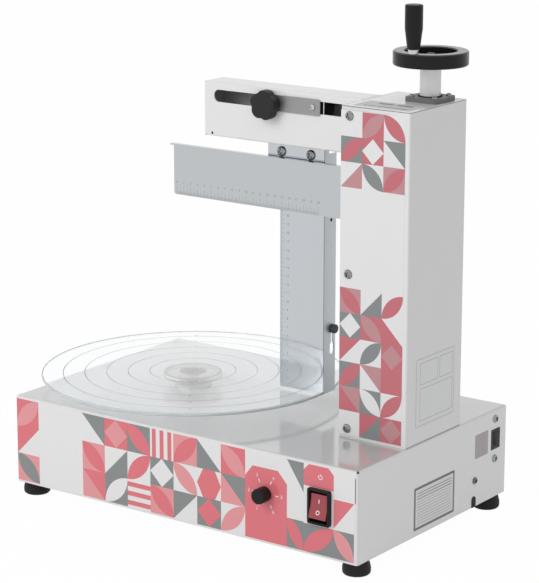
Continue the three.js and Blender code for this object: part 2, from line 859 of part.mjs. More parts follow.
function handwheel() {
  const inner = wheelRadius - rimWidth;
  const rim = turned([
    [inner, rimBottom + rimRound],
    [inner + rimRound, rimBottom],
    [wheelRadius - rimRound, rimBottom],
    [wheelRadius, rimBottom + rimRound],
    [wheelRadius, rimTop - rimRound],
    [wheelRadius - rimRound, rimTop],
    [inner + rimRound, rimTop],
    [inner, rimTop - rimRound],
    [inner, rimBottom + rimRound],
  ], fineSides);
  const hub = rod(hubRadius, hubBottom, wheelHubTop);
  const spokes = [];
  for (let index = 0; index < spokeCount; index += 1) {
    const angle = -Math.PI / 2 + (index / spokeCount) * 2 * Math.PI;
    const spoke = box(
      hubRadius / 2, inner + rimWidth / 4, -spokeWidth / 2, spokeWidth / 2,
      rimBottom + rimRound / 2, rimBottom + rimRound / 2 + spokeHeight,
    );
    spokes.push(spoke.rotateZ(angle));
  }
  const bore = rod(journalBore, hubBottom - reach, wheelHubTop + reach);
  const spindleHole = rod(spindleRadius + fit, rimTop - spindleInRim, rimTop + reach, smallSides)
    .translate(0, -gripRadiusOnRim, 0);
  return cut(join(rim, hub, ...spokes), bore, spindleHole);
}
piece(crank, 'handwheel', handwheel(), blackPlastic);

piece(crank, 'wheel_nut', cut(
  turned([
    [0, wheelHubTop],
    [wheelNutRadius, wheelHubTop],
    [wheelNutRadius, wheelHubTop + wheelNutHeight / 2],
    [wheelNutRadius * 0.6, wheelHubTop + wheelNutHeight],
    [0, wheelHubTop + wheelNutHeight],
  ], 6),
  rod(wheelThreadRadius + fit, wheelHubTop - reach, wheelHubTop + wheelNutHeight / 2 + fit, smallSides),
), steel);

// Grip on its spindle, standing on the rim towards the front
const handle = group(crank, 0, -gripRadiusOnRim, rimTop);
const gripBottom = collarHeight + fit;

piece(handle, 'grip_spindle', turned([
  [0, -spindleInRim + fit],
  [spindleRadius, -spindleInRim + fit],
  [spindleRadius, 0],
  [collarRadius, 0],
  [collarRadius, collarHeight],
  [spindleRadius, collarHeight],
  [spindleRadius, gripBottom + gripBoreDepth - fit],
  [0, gripBottom + gripBoreDepth - fit],
]), steel);

piece(handle, 'grip', turned([
  [spindleRadius + fit, gripBottom],
  [gripFootRadius, gripBottom],
  [gripRadius, gripBottom + gripTaper],
  [gripRadius, gripBottom + gripLength - gripRound],
  [gripRadius - gripRound, gripBottom + gripLength],
  [0, gripBottom + gripLength],
  [0, gripBottom + gripBoreDepth],
  [spindleRadius + fit, gripBottom + gripBoreDepth],
  [spindleRadius + fit, gripBottom],
]), blackPlastic);

// Carriage on the guide rods, with the lead nut, the bushes and a tongue that holds the cross blade
const bushRadius = guideRodRadius + fit + bushWall;
const leadNutRadius = leadScrewRadius + fit + leadNutWall;
const leadNutFlangeRadius = leadScrewRadius + fit + leadNutFlangeWall;
const carriageLeft = guideRodX - bushRadius - fit - carriageWall;
const carriageRight = leadScrewX + leadNutFlangeRadius;
const carriageHalf = guideRodSpread + bushRadius + fit + carriageWall;
const carriageBottom = crossRise + (crossHeight - carriageHeight) / 2;
const carriageTop = carriageBottom + carriageHeight;
const tongueLeft = columnLeft + sheet + tongueOffWall;
const tongueFront = bladeY + fit;
const bladeScrewX = (tongueLeft + carriageLeft) / 2;
const bladeScrewMiddle = (carriageBottom + carriageTop) / 2;
const bladeScrewHeights = [
  ['blade_screw_upper', bladeScrewMiddle + bladeScrewSpread],
  ['blade_screw_lower', bladeScrewMiddle - bladeScrewSpread],
];

function bladeScrewHoles() {
  return bladeScrewHeights.map(([, z]) => facingFront(rod(
    bladeScrewRadius + fit, -tongueThickness - reach, crossFlange + reach, smallSides,
  )).translate(bladeScrewX, bladeY, z));
}

function carriage() {
  const block = box(
    carriageLeft, carriageRight, bladeY - carriageHalf, bladeY + carriageHalf, carriageBottom, carriageTop,
  );
  const tongue = box(
    tongueLeft, carriageLeft + carriageWall, tongueFront, tongueFront + tongueThickness,
    carriageBottom, carriageTop,
  );
  const nutBore = rod(leadNutRadius + fit, carriageBottom - reach, carriageTop + reach)
    .translate(leadScrewX, leadScrewY, 0);
  const bushBores = guideRodPlaces.map(([, x, y]) => rod(
    bushRadius + fit, carriageBottom - reach, carriageTop + reach,
  ).translate(x, y, 0));
  return cut(join(block, tongue), nutBore, ...bushBores, ...bladeScrewHoles());
}
piece(column, 'carriage', carriage(), aluminium);

const leadBore = leadScrewRadius + fit;
piece(crank, 'lead_nut', turned([
  [leadBore, carriageBottom],
  [leadNutRadius, carriageBottom],
  [leadNutRadius, carriageTop],
  [leadNutFlangeRadius, carriageTop],
  [leadNutFlangeRadius, carriageTop + leadNutFlangeHeight],
  [leadBore, carriageTop + leadNutFlangeHeight],
  [leadBore, carriageBottom],
]), brass);

for (const [place, x, y] of guideRodPlaces) {
  const bush = ring(guideRodRadius + fit, bushRadius, carriageBottom, carriageTop);
  piece(column, `guide_bush_${place}`, bush, brass, x, y, 0);
}

// Cross blade: an upright sheet with a flange bent forward along its top
function crossBlade() {
  const left = turntableX - crossPastAxis - columnX;
  const right = carriageLeft - bladeGap;
  const back = bladeY;
  const front = bladeY - bladeThickness;
  const section = new THREE.Shape();
  section.moveTo(back, crossRise);
  section.absarc(back - bend, crossTop - bend, bend, 0, Math.PI / 2, false);
  section.lineTo(front - crossFlange, crossTop);
  section.lineTo(front - crossFlange, crossTop - bladeThickness);
  section.absarc(back - bend, crossTop - bend, bend - bladeThickness, Math.PI / 2, 0, true);
  section.lineTo(front, crossRise);
  const folded = facingRight(extruded(section, left, right));
  const corner = cut(
    box(left - reach, left + crossCorner, front - reach, back + reach,
      crossRise - reach, crossRise + crossCorner),
    facingFront(rod(crossCorner, -back - reach * 2, -front + reach * 2, smallSides))
      .translate(left + crossCorner, 0, crossRise + crossCorner),
  );
  return cut(folded, corner, ...bladeScrewHoles());
}
piece(column, 'cross_blade', crossBlade(), steel);
for (const [name, z] of bladeScrewHeights) {
  const screw = facingFront(panScrew(
    bladeScrewHeadRadius, bladeScrewHeadHeight, bladeScrewRadius, bladeThickness + tongueThickness,
  ));
  piece(column, name, screw, steel, bladeScrewX, bladeY - bladeThickness, z);
}

// Arm: a folded box beside the column, slotted in front and open below along its middle.
// Its frame has x = 0 at the end by the column, y = 0 in the blade plane and z = 0 at its underside.
const arm = group(whole, columnX + columnLeft - fit, 0, baseTop + armBottom);
const armFront = -armDepth / 2;
const slotZ = armHeight - slotDrop;
const armEnd = -armReach;

function armBox() {
  const outer = facingRight(extruded(roundedRect(armFront, -armFront, 0, armHeight, bend), armEnd, 0));
  const inside = box(armEnd + sheet, -sheet, armFront + sheet, -armFront - sheet, sheet, armHeight - sheet);
  const mouth = box(armEnd + sheet, -sheet, -mouthFront, mouthBack, -reach, sheet + reach);
  const slotShape = roundedRect(
    armEnd + slotInset, -slotInset, slotZ - slotHeight / 2, slotZ + slotHeight / 2, slotHeight / 2 - fit,
  );
  const slot = facingFront(extruded(slotShape, -sheet - reach, reach, smallSides / 2))
    .translate(0, armFront, 0);
  return cut(outer, inside, mouth, slot);
}
piece(arm, 'arm_box', armBox(), whitePaint);

// Slider on the arm: x = 0 at the middle of the upright blade's head
const uprightRight = turntableX + edgeFromAxis + uprightWidth - (columnX + columnLeft - fit);
const slider = group(arm, uprightRight - headWidth / 2, 0, 0);
const headLeft = -headWidth / 2;
const headRight = headWidth / 2;
const uprightFront = bladeGap;
const uprightBack = uprightFront + bladeThickness;
const uprightBottom = plateRise + tipGap - armBottom;
const hangerFront = uprightBack + fit;
const hangerBack = hangerFront + hangerThickness;
const blockFront = armFront + sheet + fit;
const blockBack = hangerFront - fit;
const blockBottom = slotZ - blockHeight / 2;
const blockTop = Math.min(slotZ + blockHeight / 2, armHeight - sheet - fit);
const strapX1 = headRight + strapRight;
const strapX0 = strapX1 - strapLength;
const strapBack = armFront - fit;
const strapFront = strapBack - sheet;
const studX = strapX0 + strapEndInset;
const studZ = slotZ - studDrop;
const strapScrewX = strapX1 - strapEndInset;
const hangerScrews = [
  ['hanger_screw_left', -hangerScrewSpread],
  ['hanger_screw_right', hangerScrewSpread],
];

function frontHole(radius, x, z) {
  return facingFront(rod(radius + fit, -armDepth, armDepth, smallSides)).translate(x, 0, z);
}

function hangerScrewHoles() {
  return hangerScrews.map(([, x]) => frontHole(screwRadius, x, -hangerScrewDrop));
}

function sliderBlock() {
  const block = box(
    headLeft + blockLeft, headRight + blockRight, blockFront, blockBack, blockBottom, blockTop,
  );
  return cut(
    block, frontHole(studRadius, studX, studZ), frontHole(strapScrewRadius, strapScrewX, slotZ),
  );
}

function hanger() {
  const bar = box(
    headLeft + blockLeft, headRight + blockRight, hangerFront, hangerBack, blockBottom, blockTop,
  );
  const neck = box(
    headLeft + hangerSide, headRight - bladeThickness - hangerSide, hangerFront, hangerBack,
    -hangerOverlap + sheet, blockTop,
  );
  return cut(
    join(bar, neck), ...hangerScrewHoles(), frontHole(studRadius, studX, studZ),
    frontHole(strapScrewRadius, strapScrewX, slotZ),
  );
}

function clampStrap() {
  const plate = facingFront(extruded(
    roundedRect(strapX0, strapX1, slotZ - strapHeight / 2, slotZ + strapHeight / 2, strapCorner),
    -strapBack, -strapFront,
  ));
  return cut(
    plate, frontHole(studRadius, studX, studZ), frontHole(strapScrewRadius, strapScrewX, slotZ),
  );
}

// Upright blade: a strip with a wider head, and a flange bent back along its right side
const runnerTop = uprightBottom + runnerRise;
const runnerY = uprightFront + uprightFlange - runnerFromBack;

function uprightBlade() {
  const left = headRight - uprightWidth;
  const strip = box(left, headRight, uprightFront, uprightBack, uprightBottom, headInArm);
  const head = box(headLeft, headRight, uprightFront, uprightBack, headInArm - headHeight, headInArm);
  const flangeLeft = headRight - bladeThickness;
  const flange = box(
    flangeLeft, headRight, uprightFront, uprightFront + uprightFlange, uprightBottom, -flangeBelowArm,
  );
  const neck = box(flangeLeft, headRight, uprightFront, uprightFront + flangeNeck, uprightBottom, headInArm);
  const half = runnerRadius + fit;
  const slotEnd = runnerTop - runnerTravel - half;
  const slot = facingRight(extruded(
    roundedRect(runnerY - half, runnerY + half, slotEnd, runnerTop + half, runnerRadius),
    flangeLeft - reach, headRight + reach, smallSides / 2,
  ));
  const keyhole = facingRight(extruded(
    roundedRect(runnerY - keyholeWidth / 2, runnerY + keyholeWidth / 2, slotEnd, slotEnd + keyholeHeight,
      keyholeWidth / 2 - fit),
    flangeLeft - reach, headRight + reach, smallSides / 2,
  ));
  const hole = facingRight(rod(flangeHoleRadius, flangeLeft - reach, headRight + reach, smallSides))
    .translate(0, uprightFront + uprightFlange - flangeHoleFromBack, uprightBottom + flangeHoleRise);
  return cut(join(strip, head, flange, neck), slot, keyhole, hole, ...hangerScrewHoles());
}

piece(slider, 'slider_block', sliderBlock(), blackPlastic);
piece(slider, 'hanger', hanger(), steel);
piece(slider, 'clamp_strap', clampStrap(), steel);
piece(slider, 'strap_screw', facingFront(panScrew(
  strapScrewHeadRadius, strapScrewHeadHeight, strapScrewRadius, hangerBack + strapScrewTail - strapFront,
)), steel, strapScrewX, strapFront, slotZ);
piece(slider, 'vertical_blade', uprightBlade(), steel);
for (const [name, x] of hangerScrews) {
  const screw = facingFront(panScrew(
    hangerHeadRadius, screwHeadHeight, screwRadius, hangerBack + strapScrewTail - uprightFront,
  ));
  piece(slider, name, screw, steel, x, uprightFront, -hangerScrewDrop);
}

// Star knob with its stud, its heights running forward from the strap
const star = group(slider, studX, strapFront - fit, studZ);

function starKnob() {
  const outline = [];
  const count = starLobes * 12;
  const turn = (starTurn / 180) * Math.PI;
  for (let index = 0; index < count; index += 1) {
    const angle = (index / count) * 2 * Math.PI;
    const valley = (1 - Math.cos((angle - turn) * starLobes)) / 2;
    const radius = starRadius - starBevel - starLobeDepth * valley ** 2;
    outline.push(new THREE.Vector2(radius * Math.cos(angle), radius * Math.sin(angle)));
  }
  const lobed = new THREE.ExtrudeGeometry(new THREE.Shape(outline), {
    depth: starDepth - 2 * starBevel,
    bevelThickness: starBevel,
    bevelSize: starBevel,
    bevelSegments: 2,
  }).translate(0, 0, starBevel);
  return facingFront(cut(lobed, rod(studRadius + fit, -reach, studInKnob, smallSides)));
}
piece(star, 'star_knob', starKnob(), blackPlastic);
piece(star, 'star_knob_stud', facingFront(rod(
  studRadius, strapFront - fit - blockFront - studInBlock, studInKnob - fit, smallSides,
)), steel);

// Small knob: a nut and stud that run in the flange's slot, and the knob on the stud
const runner = group(slider, headRight, runnerY, runnerTop);
const nutFace = -bladeThickness - fit;

piece(runner, 'slot_stud', facingRight(join(
  box(-runnerNutSide / 2, runnerNutSide / 2, -runnerNutSide / 2, runnerNutSide / 2,
    nutFace - runnerNutThickness, nutFace),
  rod(runnerRadius, nutFace - runnerNutThickness / 2, thumbBore, smallSides),
)), steel);
piece(runner, 'thumb_knob', facingRight(turned([
  [runnerRadius + fit, fit],
  [thumbRadius, fit],
  [thumbRadius, fit + thumbLength - gripRound],
  [thumbRadius - gripRound, fit + thumbLength],
  [0, fit + thumbLength],
  [0, fit + thumbBore],
  [runnerRadius + fit, fit + thumbBore],
  [runnerRadius + fit, fit],
], smallSides)), blackPlastic);

export default machine;
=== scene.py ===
# Looks of the cake icing smoother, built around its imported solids.
# Metres, +X to the right, +Y to the back, +Z up. Plans of flat pieces are in millimetres.
from math import atan2, cos, pi, radians, sin

import bmesh
import bpy
from mathutils import Matrix, Vector
from mathutils.geometry import tessellate_polygon


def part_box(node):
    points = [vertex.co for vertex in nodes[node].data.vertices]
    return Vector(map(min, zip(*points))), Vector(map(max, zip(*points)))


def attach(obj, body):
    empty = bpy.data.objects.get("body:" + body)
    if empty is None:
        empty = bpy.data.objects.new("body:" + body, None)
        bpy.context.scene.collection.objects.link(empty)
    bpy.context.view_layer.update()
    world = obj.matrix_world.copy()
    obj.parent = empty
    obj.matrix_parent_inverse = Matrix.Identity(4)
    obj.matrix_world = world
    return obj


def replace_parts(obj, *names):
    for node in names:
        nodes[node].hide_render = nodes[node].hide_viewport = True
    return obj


MM = 0.001

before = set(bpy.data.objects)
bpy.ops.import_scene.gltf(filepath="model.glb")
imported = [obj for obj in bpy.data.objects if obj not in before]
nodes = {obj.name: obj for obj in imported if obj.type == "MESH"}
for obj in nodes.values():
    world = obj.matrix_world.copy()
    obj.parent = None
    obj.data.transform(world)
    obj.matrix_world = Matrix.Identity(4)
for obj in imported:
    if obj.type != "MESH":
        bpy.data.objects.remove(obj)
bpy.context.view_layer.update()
scene = bpy.context.scene


def linked(name, data):
    made = bpy.data.objects.new(name, data)
    scene.collection.objects.link(made)
    return made


# Camera at the photograph's viewing angle
IMAGE_WIDTH = 539
IMAGE_HEIGHT = 583
SENSOR = 36.0
FOCAL_PIXELS = 2358.0
MIDDLE_X = 270.39
MIDDLE_Y = 292.66
YAW = 36.08
PITCH = 14.04
ROLL = -0.06
CAMERA_PLACE = (1.5627, -2.1091, 0.9040)
CLIP_END = 200
camera_data = bpy.data.cameras.new("camera")
camera_data.sensor_width = SENSOR
camera_data.lens = FOCAL_PIXELS * SENSOR / IMAGE_HEIGHT
camera_data.shift_x = -(MIDDLE_X - IMAGE_WIDTH / 2) / IMAGE_HEIGHT
camera_data.shift_y = (MIDDLE_Y - IMAGE_HEIGHT / 2) / IMAGE_HEIGHT
camera_data.clip_end = CLIP_END
camera = linked("camera", camera_data)
camera.location = CAMERA_PLACE
camera.rotation_euler = [radians(turn) for turn in (90 - PITCH, ROLL, YAW)]
scene.camera = camera
scene.view_settings.view_transform = "Standard"


# Colours as they look on screen, turned into linear values
def srgb(red, green, blue):
    values = []
    for level in (red, green, blue):
        share = level / 255
        values.append(share / 12.92 if share <= 0.04045 else ((share + 0.055) / 1.055) ** 2.4)
    return (*values, 1.0)


def shaded(color, factor):
    return (*(min(1.0, value * factor) for value in srgb(*color)[:3]), 1.0)


# Finer values of the materials, and the sockets of a node that mixes two colours
CLOUD_DETAIL = 4.0
SPECK_DETAIL = 2.0
SPECK_DEPTH = 0.0001
LEAST_ROUGHNESS = 0.02
SHADOW_TINT = 0.92
FACING_FROM = 0.6
FACING_FULL = 0.97
MIX_FACTOR = 0
MIX_A = 6
MIX_B = 7
MIX_RESULT = 2


def set_inputs(node, values):
    for socket, value in values.items():
        node.inputs[socket].default_value = value


def add_node(tree, kind, values=None):
    made = tree.nodes.new(f"ShaderNode{kind}")
    set_inputs(made, values or {})
    return made


def join(source, out, target, into):
    source.id_data.links.new(source.outputs[out], target.inputs[into])


def shader_of(tree):
    return tree.nodes["Principled BSDF"]


# A material with slow drifts of colour and roughness and a fine grain.
# Wear is the drift of roughness; clouds and specks are the scales of the drift and of the grain.
def surface(
    name, color, roughness, metallic=0, drift=0.08, clouds=60, wear=0.05,
    grain=0, specks=2500, stretch=(1, 1, 1), shine=0.5,
):
    made = bpy.data.materials.new(name)
    made.use_nodes = True
    tree = made.node_tree
    shader = shader_of(tree)
    set_inputs(shader, {"Metallic": metallic, "Specular IOR Level": shine})
    place = add_node(tree, "TexCoord")
    spread = add_node(tree, "Mapping", {"Scale": stretch})
    join(place, "Object", spread, "Vector")
    cloud = add_node(tree, "TexNoise", {"Scale": clouds, "Detail": CLOUD_DETAIL})
    join(spread, "Vector", cloud, "Vector")
    tone = add_node(tree, "Mix", {MIX_A: shaded(color, 1 - drift), MIX_B: shaded(color, 1 + drift)})
    tone.data_type = "RGBA"
    join(cloud, "Fac", tone, MIX_FACTOR)
    join(tone, MIX_RESULT, shader, "Base Color")
    least = max(LEAST_ROUGHNESS, roughness - wear)
    polish = add_node(tree, "MapRange", {"To Min": least, "To Max": roughness + wear})
    join(cloud, "Fac", polish, "Value")
    join(polish, "Result", shader, "Roughness")
    if grain:
        speck = add_node(tree, "TexNoise", {"Scale": specks, "Detail": SPECK_DETAIL})
        join(spread, "Vector", speck, "Vector")
        relief = add_node(tree, "Bump", {"Strength": grain, "Distance": SPECK_DEPTH})
        join(speck, "Fac", relief, "Height")
        join(relief, "Normal", shader, "Normal")
    return made


# Mixes a second shader into a material, by a factor
def mix_shader(tree, factor, second):
    blend = add_node(tree, "MixShader")
    tree.links.new(factor, blend.inputs["Fac"])
    join(shader_of(tree), "BSDF", blend, 1)
    tree.links.new(second, blend.inputs[2])
    join(blend, "Shader", tree.nodes["Material Output"], "Surface")


# Clear material that lamps shine through
def clear(name, tint, ior):
    made = surface(name, tint, 0.04, drift=0.004, clouds=12, wear=0.02)
    tree = made.node_tree
    set_inputs(shader_of(tree), {"Transmission Weight": 1.0, "IOR": ior})
    path = add_node(tree, "LightPath")
    through = add_node(tree, "BsdfTransparent", {"Color": shaded(tint, SHADOW_TINT)})
    mix_shader(tree, path.outputs["Is Shadow Ray"], through.outputs["BSDF"])
    return made


def paint(name, color, roughness):
    return surface(name, color, roughness, drift=0.012, clouds=30, wear=0.015, grain=0.03, specks=900)


def ink(name, color):
    return surface(name, color, 0.1, drift=0.02, clouds=30, grain=0.03, specks=700)


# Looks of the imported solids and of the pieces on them
PAPER = (230, 230, 230)
white_paint = paint("white_paint", PAPER, 0.06)
base_paint = paint("base_paint", (226, 226, 226), 0.15)
steel = surface(
    "brushed_steel", (190, 194, 197), 0.14, 1.0, drift=0.02, wear=0.04, grain=0.05, specks=900,
    stretch=(0.05, 1, 1),
)
upright_steel = surface(
    "brushed_steel_upright", (194, 198, 202), 0.06, 1.0, drift=0.02, wear=0.02, grain=0.03,
    specks=900, stretch=(1, 1, 0.05),
)
strap_steel = surface(
    "strap_steel", (159, 159, 159), 0.42, 0.9, drift=0.06, grain=0.2, specks=900, stretch=(0.05, 1, 1),
)
bright_steel = surface(
    "bright_steel", (200, 202, 204), 0.2, 1.0, drift=0.04, clouds=300, grain=0.1, specks=3000,
)
screw_steel = surface(
    "screw_steel", (150, 151, 152), 0.27, 1.0, drift=0.1, clouds=500, grain=0.1, specks=4000,
)
grey_steel = surface("plated_steel", (150, 152, 154), 0.4, 0.9, clouds=80, grain=0.2, specks=1200)
dark_steel = surface("dark_steel", (112, 112, 113), 0.35, 0.8, clouds=200, grain=0.2)
bolt_steel = surface("bolt_steel", (150, 140, 134), 0.4, 0.3, drift=0.06, clouds=200, grain=0.2)
tube_metal = surface(
    "tube_aluminium", (223, 223, 223), 0.4, 0.4, drift=0.03, clouds=80, grain=0.2, specks=1500,
    stretch=(1, 1, 0.1),
)
flange_iron = surface("flange_grey", (112, 112, 112), 0.45, clouds=120, grain=0.3, specks=1600, shine=0.3)
brass = surface("brass", (190, 160, 90), 0.35, 1.0, drift=0.06, clouds=100)
black_plastic = surface("black_plastic", (30, 30, 30), 0.38, grain=0.2, shine=0.16)
soft_plastic = surface("soft_plastic", (72, 74, 76), 0.5, drift=0.1, clouds=90, grain=0.3, shine=0.3)
knob_plastic = surface("knob_plastic", (44, 43, 44), 0.45, clouds=90, grain=0.3, specks=2200, shine=0.2)
wheel_plastic = surface("wheel_plastic", (24, 24, 24), 0.22, grain=0.12, shine=0.2)
inlet_plastic = surface("inlet_plastic", (60, 60, 61), 0.45, clouds=90, grain=0.2, shine=0.2)
dark_plastic = surface(
    "dark_plastic", (26, 26, 27), 0.45, drift=0.1, clouds=80, grain=0.2, specks=2000, shine=0.2,
)
rubber = surface("rubber", (36, 35, 36), 0.6, drift=0.12, clouds=90, grain=0.5, specks=1800, shine=0.2)
hub_plastic = surface("hub_plastic", (238, 235, 234), 0.5, drift=0.04, grain=0.2, specks=1800)
pad_rubber = surface("pad_rubber", (172, 163, 163), 0.6, drift=0.04, grain=0.3, specks=1800)
pale_rubber = surface("pale_rubber", (226, 220, 220), 0.6, drift=0.03, grain=0.3, specks=1800)
red_plastic = surface("red_plastic", (160, 66, 75), 0.22, drift=0.06, clouds=120, grain=0.05)
board_green = surface("board_green", (47, 107, 69), 0.6, drift=0.1, clouds=200)
glass = clear("plate_glass", (252, 254, 255), ior=1.52)
etched = surface("etched_mark", (172, 180, 184), 0.6, drift=0.05, clouds=200)
for material, share in ((hub_plastic, 0.1), (pale_rubber, 0.3), (pad_rubber, 0.36), (etched, 0.26)):
    set_inputs(shader_of(material.node_tree), {"Alpha": share})
rim_glass = surface("rim_glass", (202, 211, 215), 0.12, drift=0.25, clouds=45, wear=0.04, stretch=(1, 1, 6))
engraved = surface("engraved_mark", (142, 147, 151), 0.5, clouds=400)
fold_dark = surface("fold_dark", (104, 108, 112), 0.5, drift=0.1, clouds=200)
white_mark = surface("white_mark", (240, 236, 235), 0.4, drift=0.02, clouds=400)
dark_gap = surface("dark_gap", (32, 32, 33), 0.8, drift=0.1, clouds=400, shine=0.1)
plate_silver = surface("plate_silver", (228, 228, 228), 0.35, drift=0.03)
plate_border = surface("plate_border", (112, 112, 112), 0.45, drift=0.05, clouds=200)
label_grey = surface("label_grey", (206, 206, 205), 0.55, drift=0.03, clouds=120)
label_taupe = surface("label_taupe", (178, 171, 171), 0.4, drift=0.04, clouds=120)
film = surface("print_film", PAPER, 0.08, drift=0.012, clouds=30, wear=0.02, grain=0.03, specks=700)
label_film = surface("label_film", (229, 230, 230), 0.3, drift=0.012)
label_line = surface("label_line", (176, 177, 178), 0.4, drift=0.05, clouds=300)

# Inks of the printed sheets, which are duller on the column
plain_inks = {"g": ("grey", ink("ink_grey", (133, 137, 137))), "w": ("white", ink("ink_white", PAPER))}


def inks_of(stem, coral, pink):
    bright = {"c": ("coral", ink(f"{stem}_coral", coral)), "p": ("pink", ink(f"{stem}_pink", pink))}
    return bright | plain_inks


base_inks = inks_of("ink", (222, 114, 123), (226, 150, 153))
column_inks = inks_of("ink_dull", (198, 108, 117), (192, 140, 144))


# Lays a colour over a material's own, by a factor
def overlay(tree, factor, color):
    base = shader_of(tree).inputs["Base Color"]
    below = base.links[0].from_socket
    mix = add_node(tree, "Mix", {MIX_B: srgb(*color)})
    mix.data_type = "RGBA"
    tree.links.new(factor, mix.inputs[MIX_FACTOR])
    tree.links.new(below, mix.inputs[MIX_A])
    tree.links.new(mix.outputs[MIX_RESULT], base)


# Another tone and roughness on the faces that look along an axis
def tint_facing(material, axis, color, roughness=None):
    tree = material.node_tree
    facing = add_node(tree, "NewGeometry")
    parts = add_node(tree, "SeparateXYZ")
    join(facing, "Normal", parts, "Vector")
    toward = add_node(tree, "MapRange", {"From Min": FACING_FROM, "From Max": FACING_FULL})
    join(parts, axis, toward, "Value")
    overlay(tree, toward.outputs["Result"], color)
    if roughness:
        polish = shader_of(tree).inputs["Roughness"]
        below = polish.links[0].from_socket
        rougher = add_node(tree, "Mix", {"B": roughness})
        join(toward, "Result", rougher, "Factor")
        tree.links.new(below, rougher.inputs["A"])
        tree.links.new(rougher.outputs["Result"], polish)


# Another colour inside a box of the model, where a solid is hollow
def paint_within(material, low, high, color):
    tree = material.node_tree
    coordinates = add_node(tree, "SeparateXYZ")
    join(tree.nodes["Texture Coordinate"], "Object", coordinates, "Vector")
    within = None
    for axis, least, most in zip("XYZ", low, high):
        for operation, limit in (("GREATER_THAN", least), ("LESS_THAN", most)):
            test = add_node(tree, "Math", {1: limit})
            test.operation = operation
            join(coordinates, axis, test, 0)
            if within is None:
                within = test
                continue
            both = add_node(tree, "Math")
            both.operation = "MULTIPLY"
            join(within, 0, both, 0)
            join(test, 0, both, 1)
            within = both
    overlay(tree, within.outputs[0], color)


# The wheel's top faces are painted paler, a painted reflection, and the upright blade's flange is a duller
# side of the sheet
tint_facing(wheel_plastic, "Z", (116, 116, 116))
tint_facing(upright_steel, "X", (198, 202, 205), roughness=0.5)

# The base carries a clear coat that mirrors what stands on it. Its top faces are painted darker than its
# sides, a painted shade
coat = {"Coat Weight": 1.0, "Coat Roughness": 0.1, "Coat IOR": 1.5}
set_inputs(shader_of(base_paint.node_tree), coat)
tint_facing(base_paint, "Z", (198, 198, 198))

# The arm's inside is greyer behind its slot. The inlet's recess is painted paler than its rim: painted light
# on its walls, which lie in shade
SKIN = 1.3
arm_paint = white_paint.copy()
arm_paint.name = "arm_paint"
arm_low, arm_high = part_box("arm_box")
arm_skin = Vector((SKIN, SKIN, SKIN)) * MM
paint_within(arm_paint, arm_low + arm_skin, arm_high - arm_skin, (178, 178, 179))
RECESS_HALF_WIDTH = 7.05 * MM
RECESS_HALF_HEIGHT = 9.85 * MM
RECESS_FACE = 0.4 * MM
inlet_low, inlet_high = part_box("power_inlet")
inlet_middle = (inlet_low + inlet_high) / 2
recess_low = (inlet_low.x, inlet_middle.y - RECESS_HALF_WIDTH, inlet_middle.z - RECESS_HALF_HEIGHT)
recess_high = (
    inlet_high.x - RECESS_FACE, inlet_middle.y + RECESS_HALF_WIDTH, inlet_middle.z + RECESS_HALF_HEIGHT,
)
paint_within(inlet_plastic, recess_low, recess_high, (128, 128, 130))

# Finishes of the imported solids
FINISHES = [
    (white_paint, "column_cover", "column_shell", "column_head"),
    (base_paint, "base_housing"),
    (arm_paint, "arm_box"),
    (steel, "cross_blade"),
    (strap_steel, "clamp_strap"),
    (upright_steel, "vertical_blade", "hanger"),
    (bright_steel, "drive_shaft", "guide_rod_front", "guide_rod_rear", "lead_screw", "grip_spindle"),
    (bright_steel, "star_knob_stud", "slot_stud"),
    (screw_steel, "blade_screw_upper", "blade_screw_lower"),
    (grey_steel, "bottom_plate", "motor_bracket", "gearmotor", "potentiometer", "column_foot"),
    (grey_steel, "lower_bearing"),
    (flange_iron, "flange_bearing"),
    (brass, "lead_nut", "guide_bush_front", "guide_bush_rear"),
    (tube_metal, "spacer_tube", "carriage", "shaft_bearing"),
    (black_plastic, "speed_knob", "switch_housing", "grip"),
    (inlet_plastic, "power_inlet"),
    (soft_plastic, "thumb_knob", "wheel_nut"),
    (knob_plastic, "star_knob"),
    (wheel_plastic, "handwheel"),
    (dark_plastic, "slider_block"),
    (hub_plastic, "turntable_hub"),
    (pad_rubber, "hub_pad"),
    (rubber, "foot_front_left", "foot_front_right", "foot_rear_left", "foot_rear_right", "edge_grommet"),
    (red_plastic, "power_rocker"),
    (board_green, "control_board"),
    (glass, "cake_plate"),
]
for material, *names in FINISHES:
    for name in names:
        slots = nodes[name].data.materials
        slots.clear()
        slots.append(material)

# Soft edges on the solids: meeting vertices are welded, sharp edges get a small round
EDGE_ANGLE = radians(32)
WELD_DISTANCE = 0.002 * MM
BEVEL_STEPS = 2
NORMAL_WEIGHT = 100
SOFT_EDGES = {
    "base_housing": 0.3, "column_cover": 0.3, "column_shell": 0.25, "column_head": 0.3, "arm_box": 0.3,
    "flange_bearing": 0.6, "switch_housing": 0.6, "power_inlet": 0.4, "power_rocker": 0.5,
    "clamp_strap": 0.25, "hanger": 0.25, "spacer_tube": 0.4, "handwheel": 0.4, "grip": 0.3,
    "grip_spindle": 0.3, "star_knob": 0.3, "speed_knob": 0.3, "thumb_knob": 0.3, "turntable_hub": 0.5,
    "slot_stud": 0.3, "edge_grommet": 0.2, "cross_blade": 0.12, "vertical_blade": 0.12,
}
for name, node in nodes.items():
    mesh = node.data
    mesh.polygons.foreach_set("use_smooth", [True] * len(mesh.polygons))
    mesh.normals_split_custom_set([(0, 0, 0)] * len(mesh.loops))
    weld = node.modifiers.new("weld", "WELD")
    weld.merge_threshold = WELD_DISTANCE
    if name in SOFT_EDGES:
        soft = node.modifiers.new("soft", "BEVEL")
        soft.width = SOFT_EDGES[name] * MM
        soft.segments = BEVEL_STEPS
        soft.limit_method = "ANGLE"
        soft.angle_limit = EDGE_ANGLE
    else:
        split = node.modifiers.new("split", "EDGE_SPLIT")
        split.split_angle = EDGE_ANGLE
    weigh = node.modifiers.new("weigh", "WEIGHTED_NORMAL")
    weigh.mode = "FACE_AREA"
    weigh.weight = NORMAL_WEIGHT


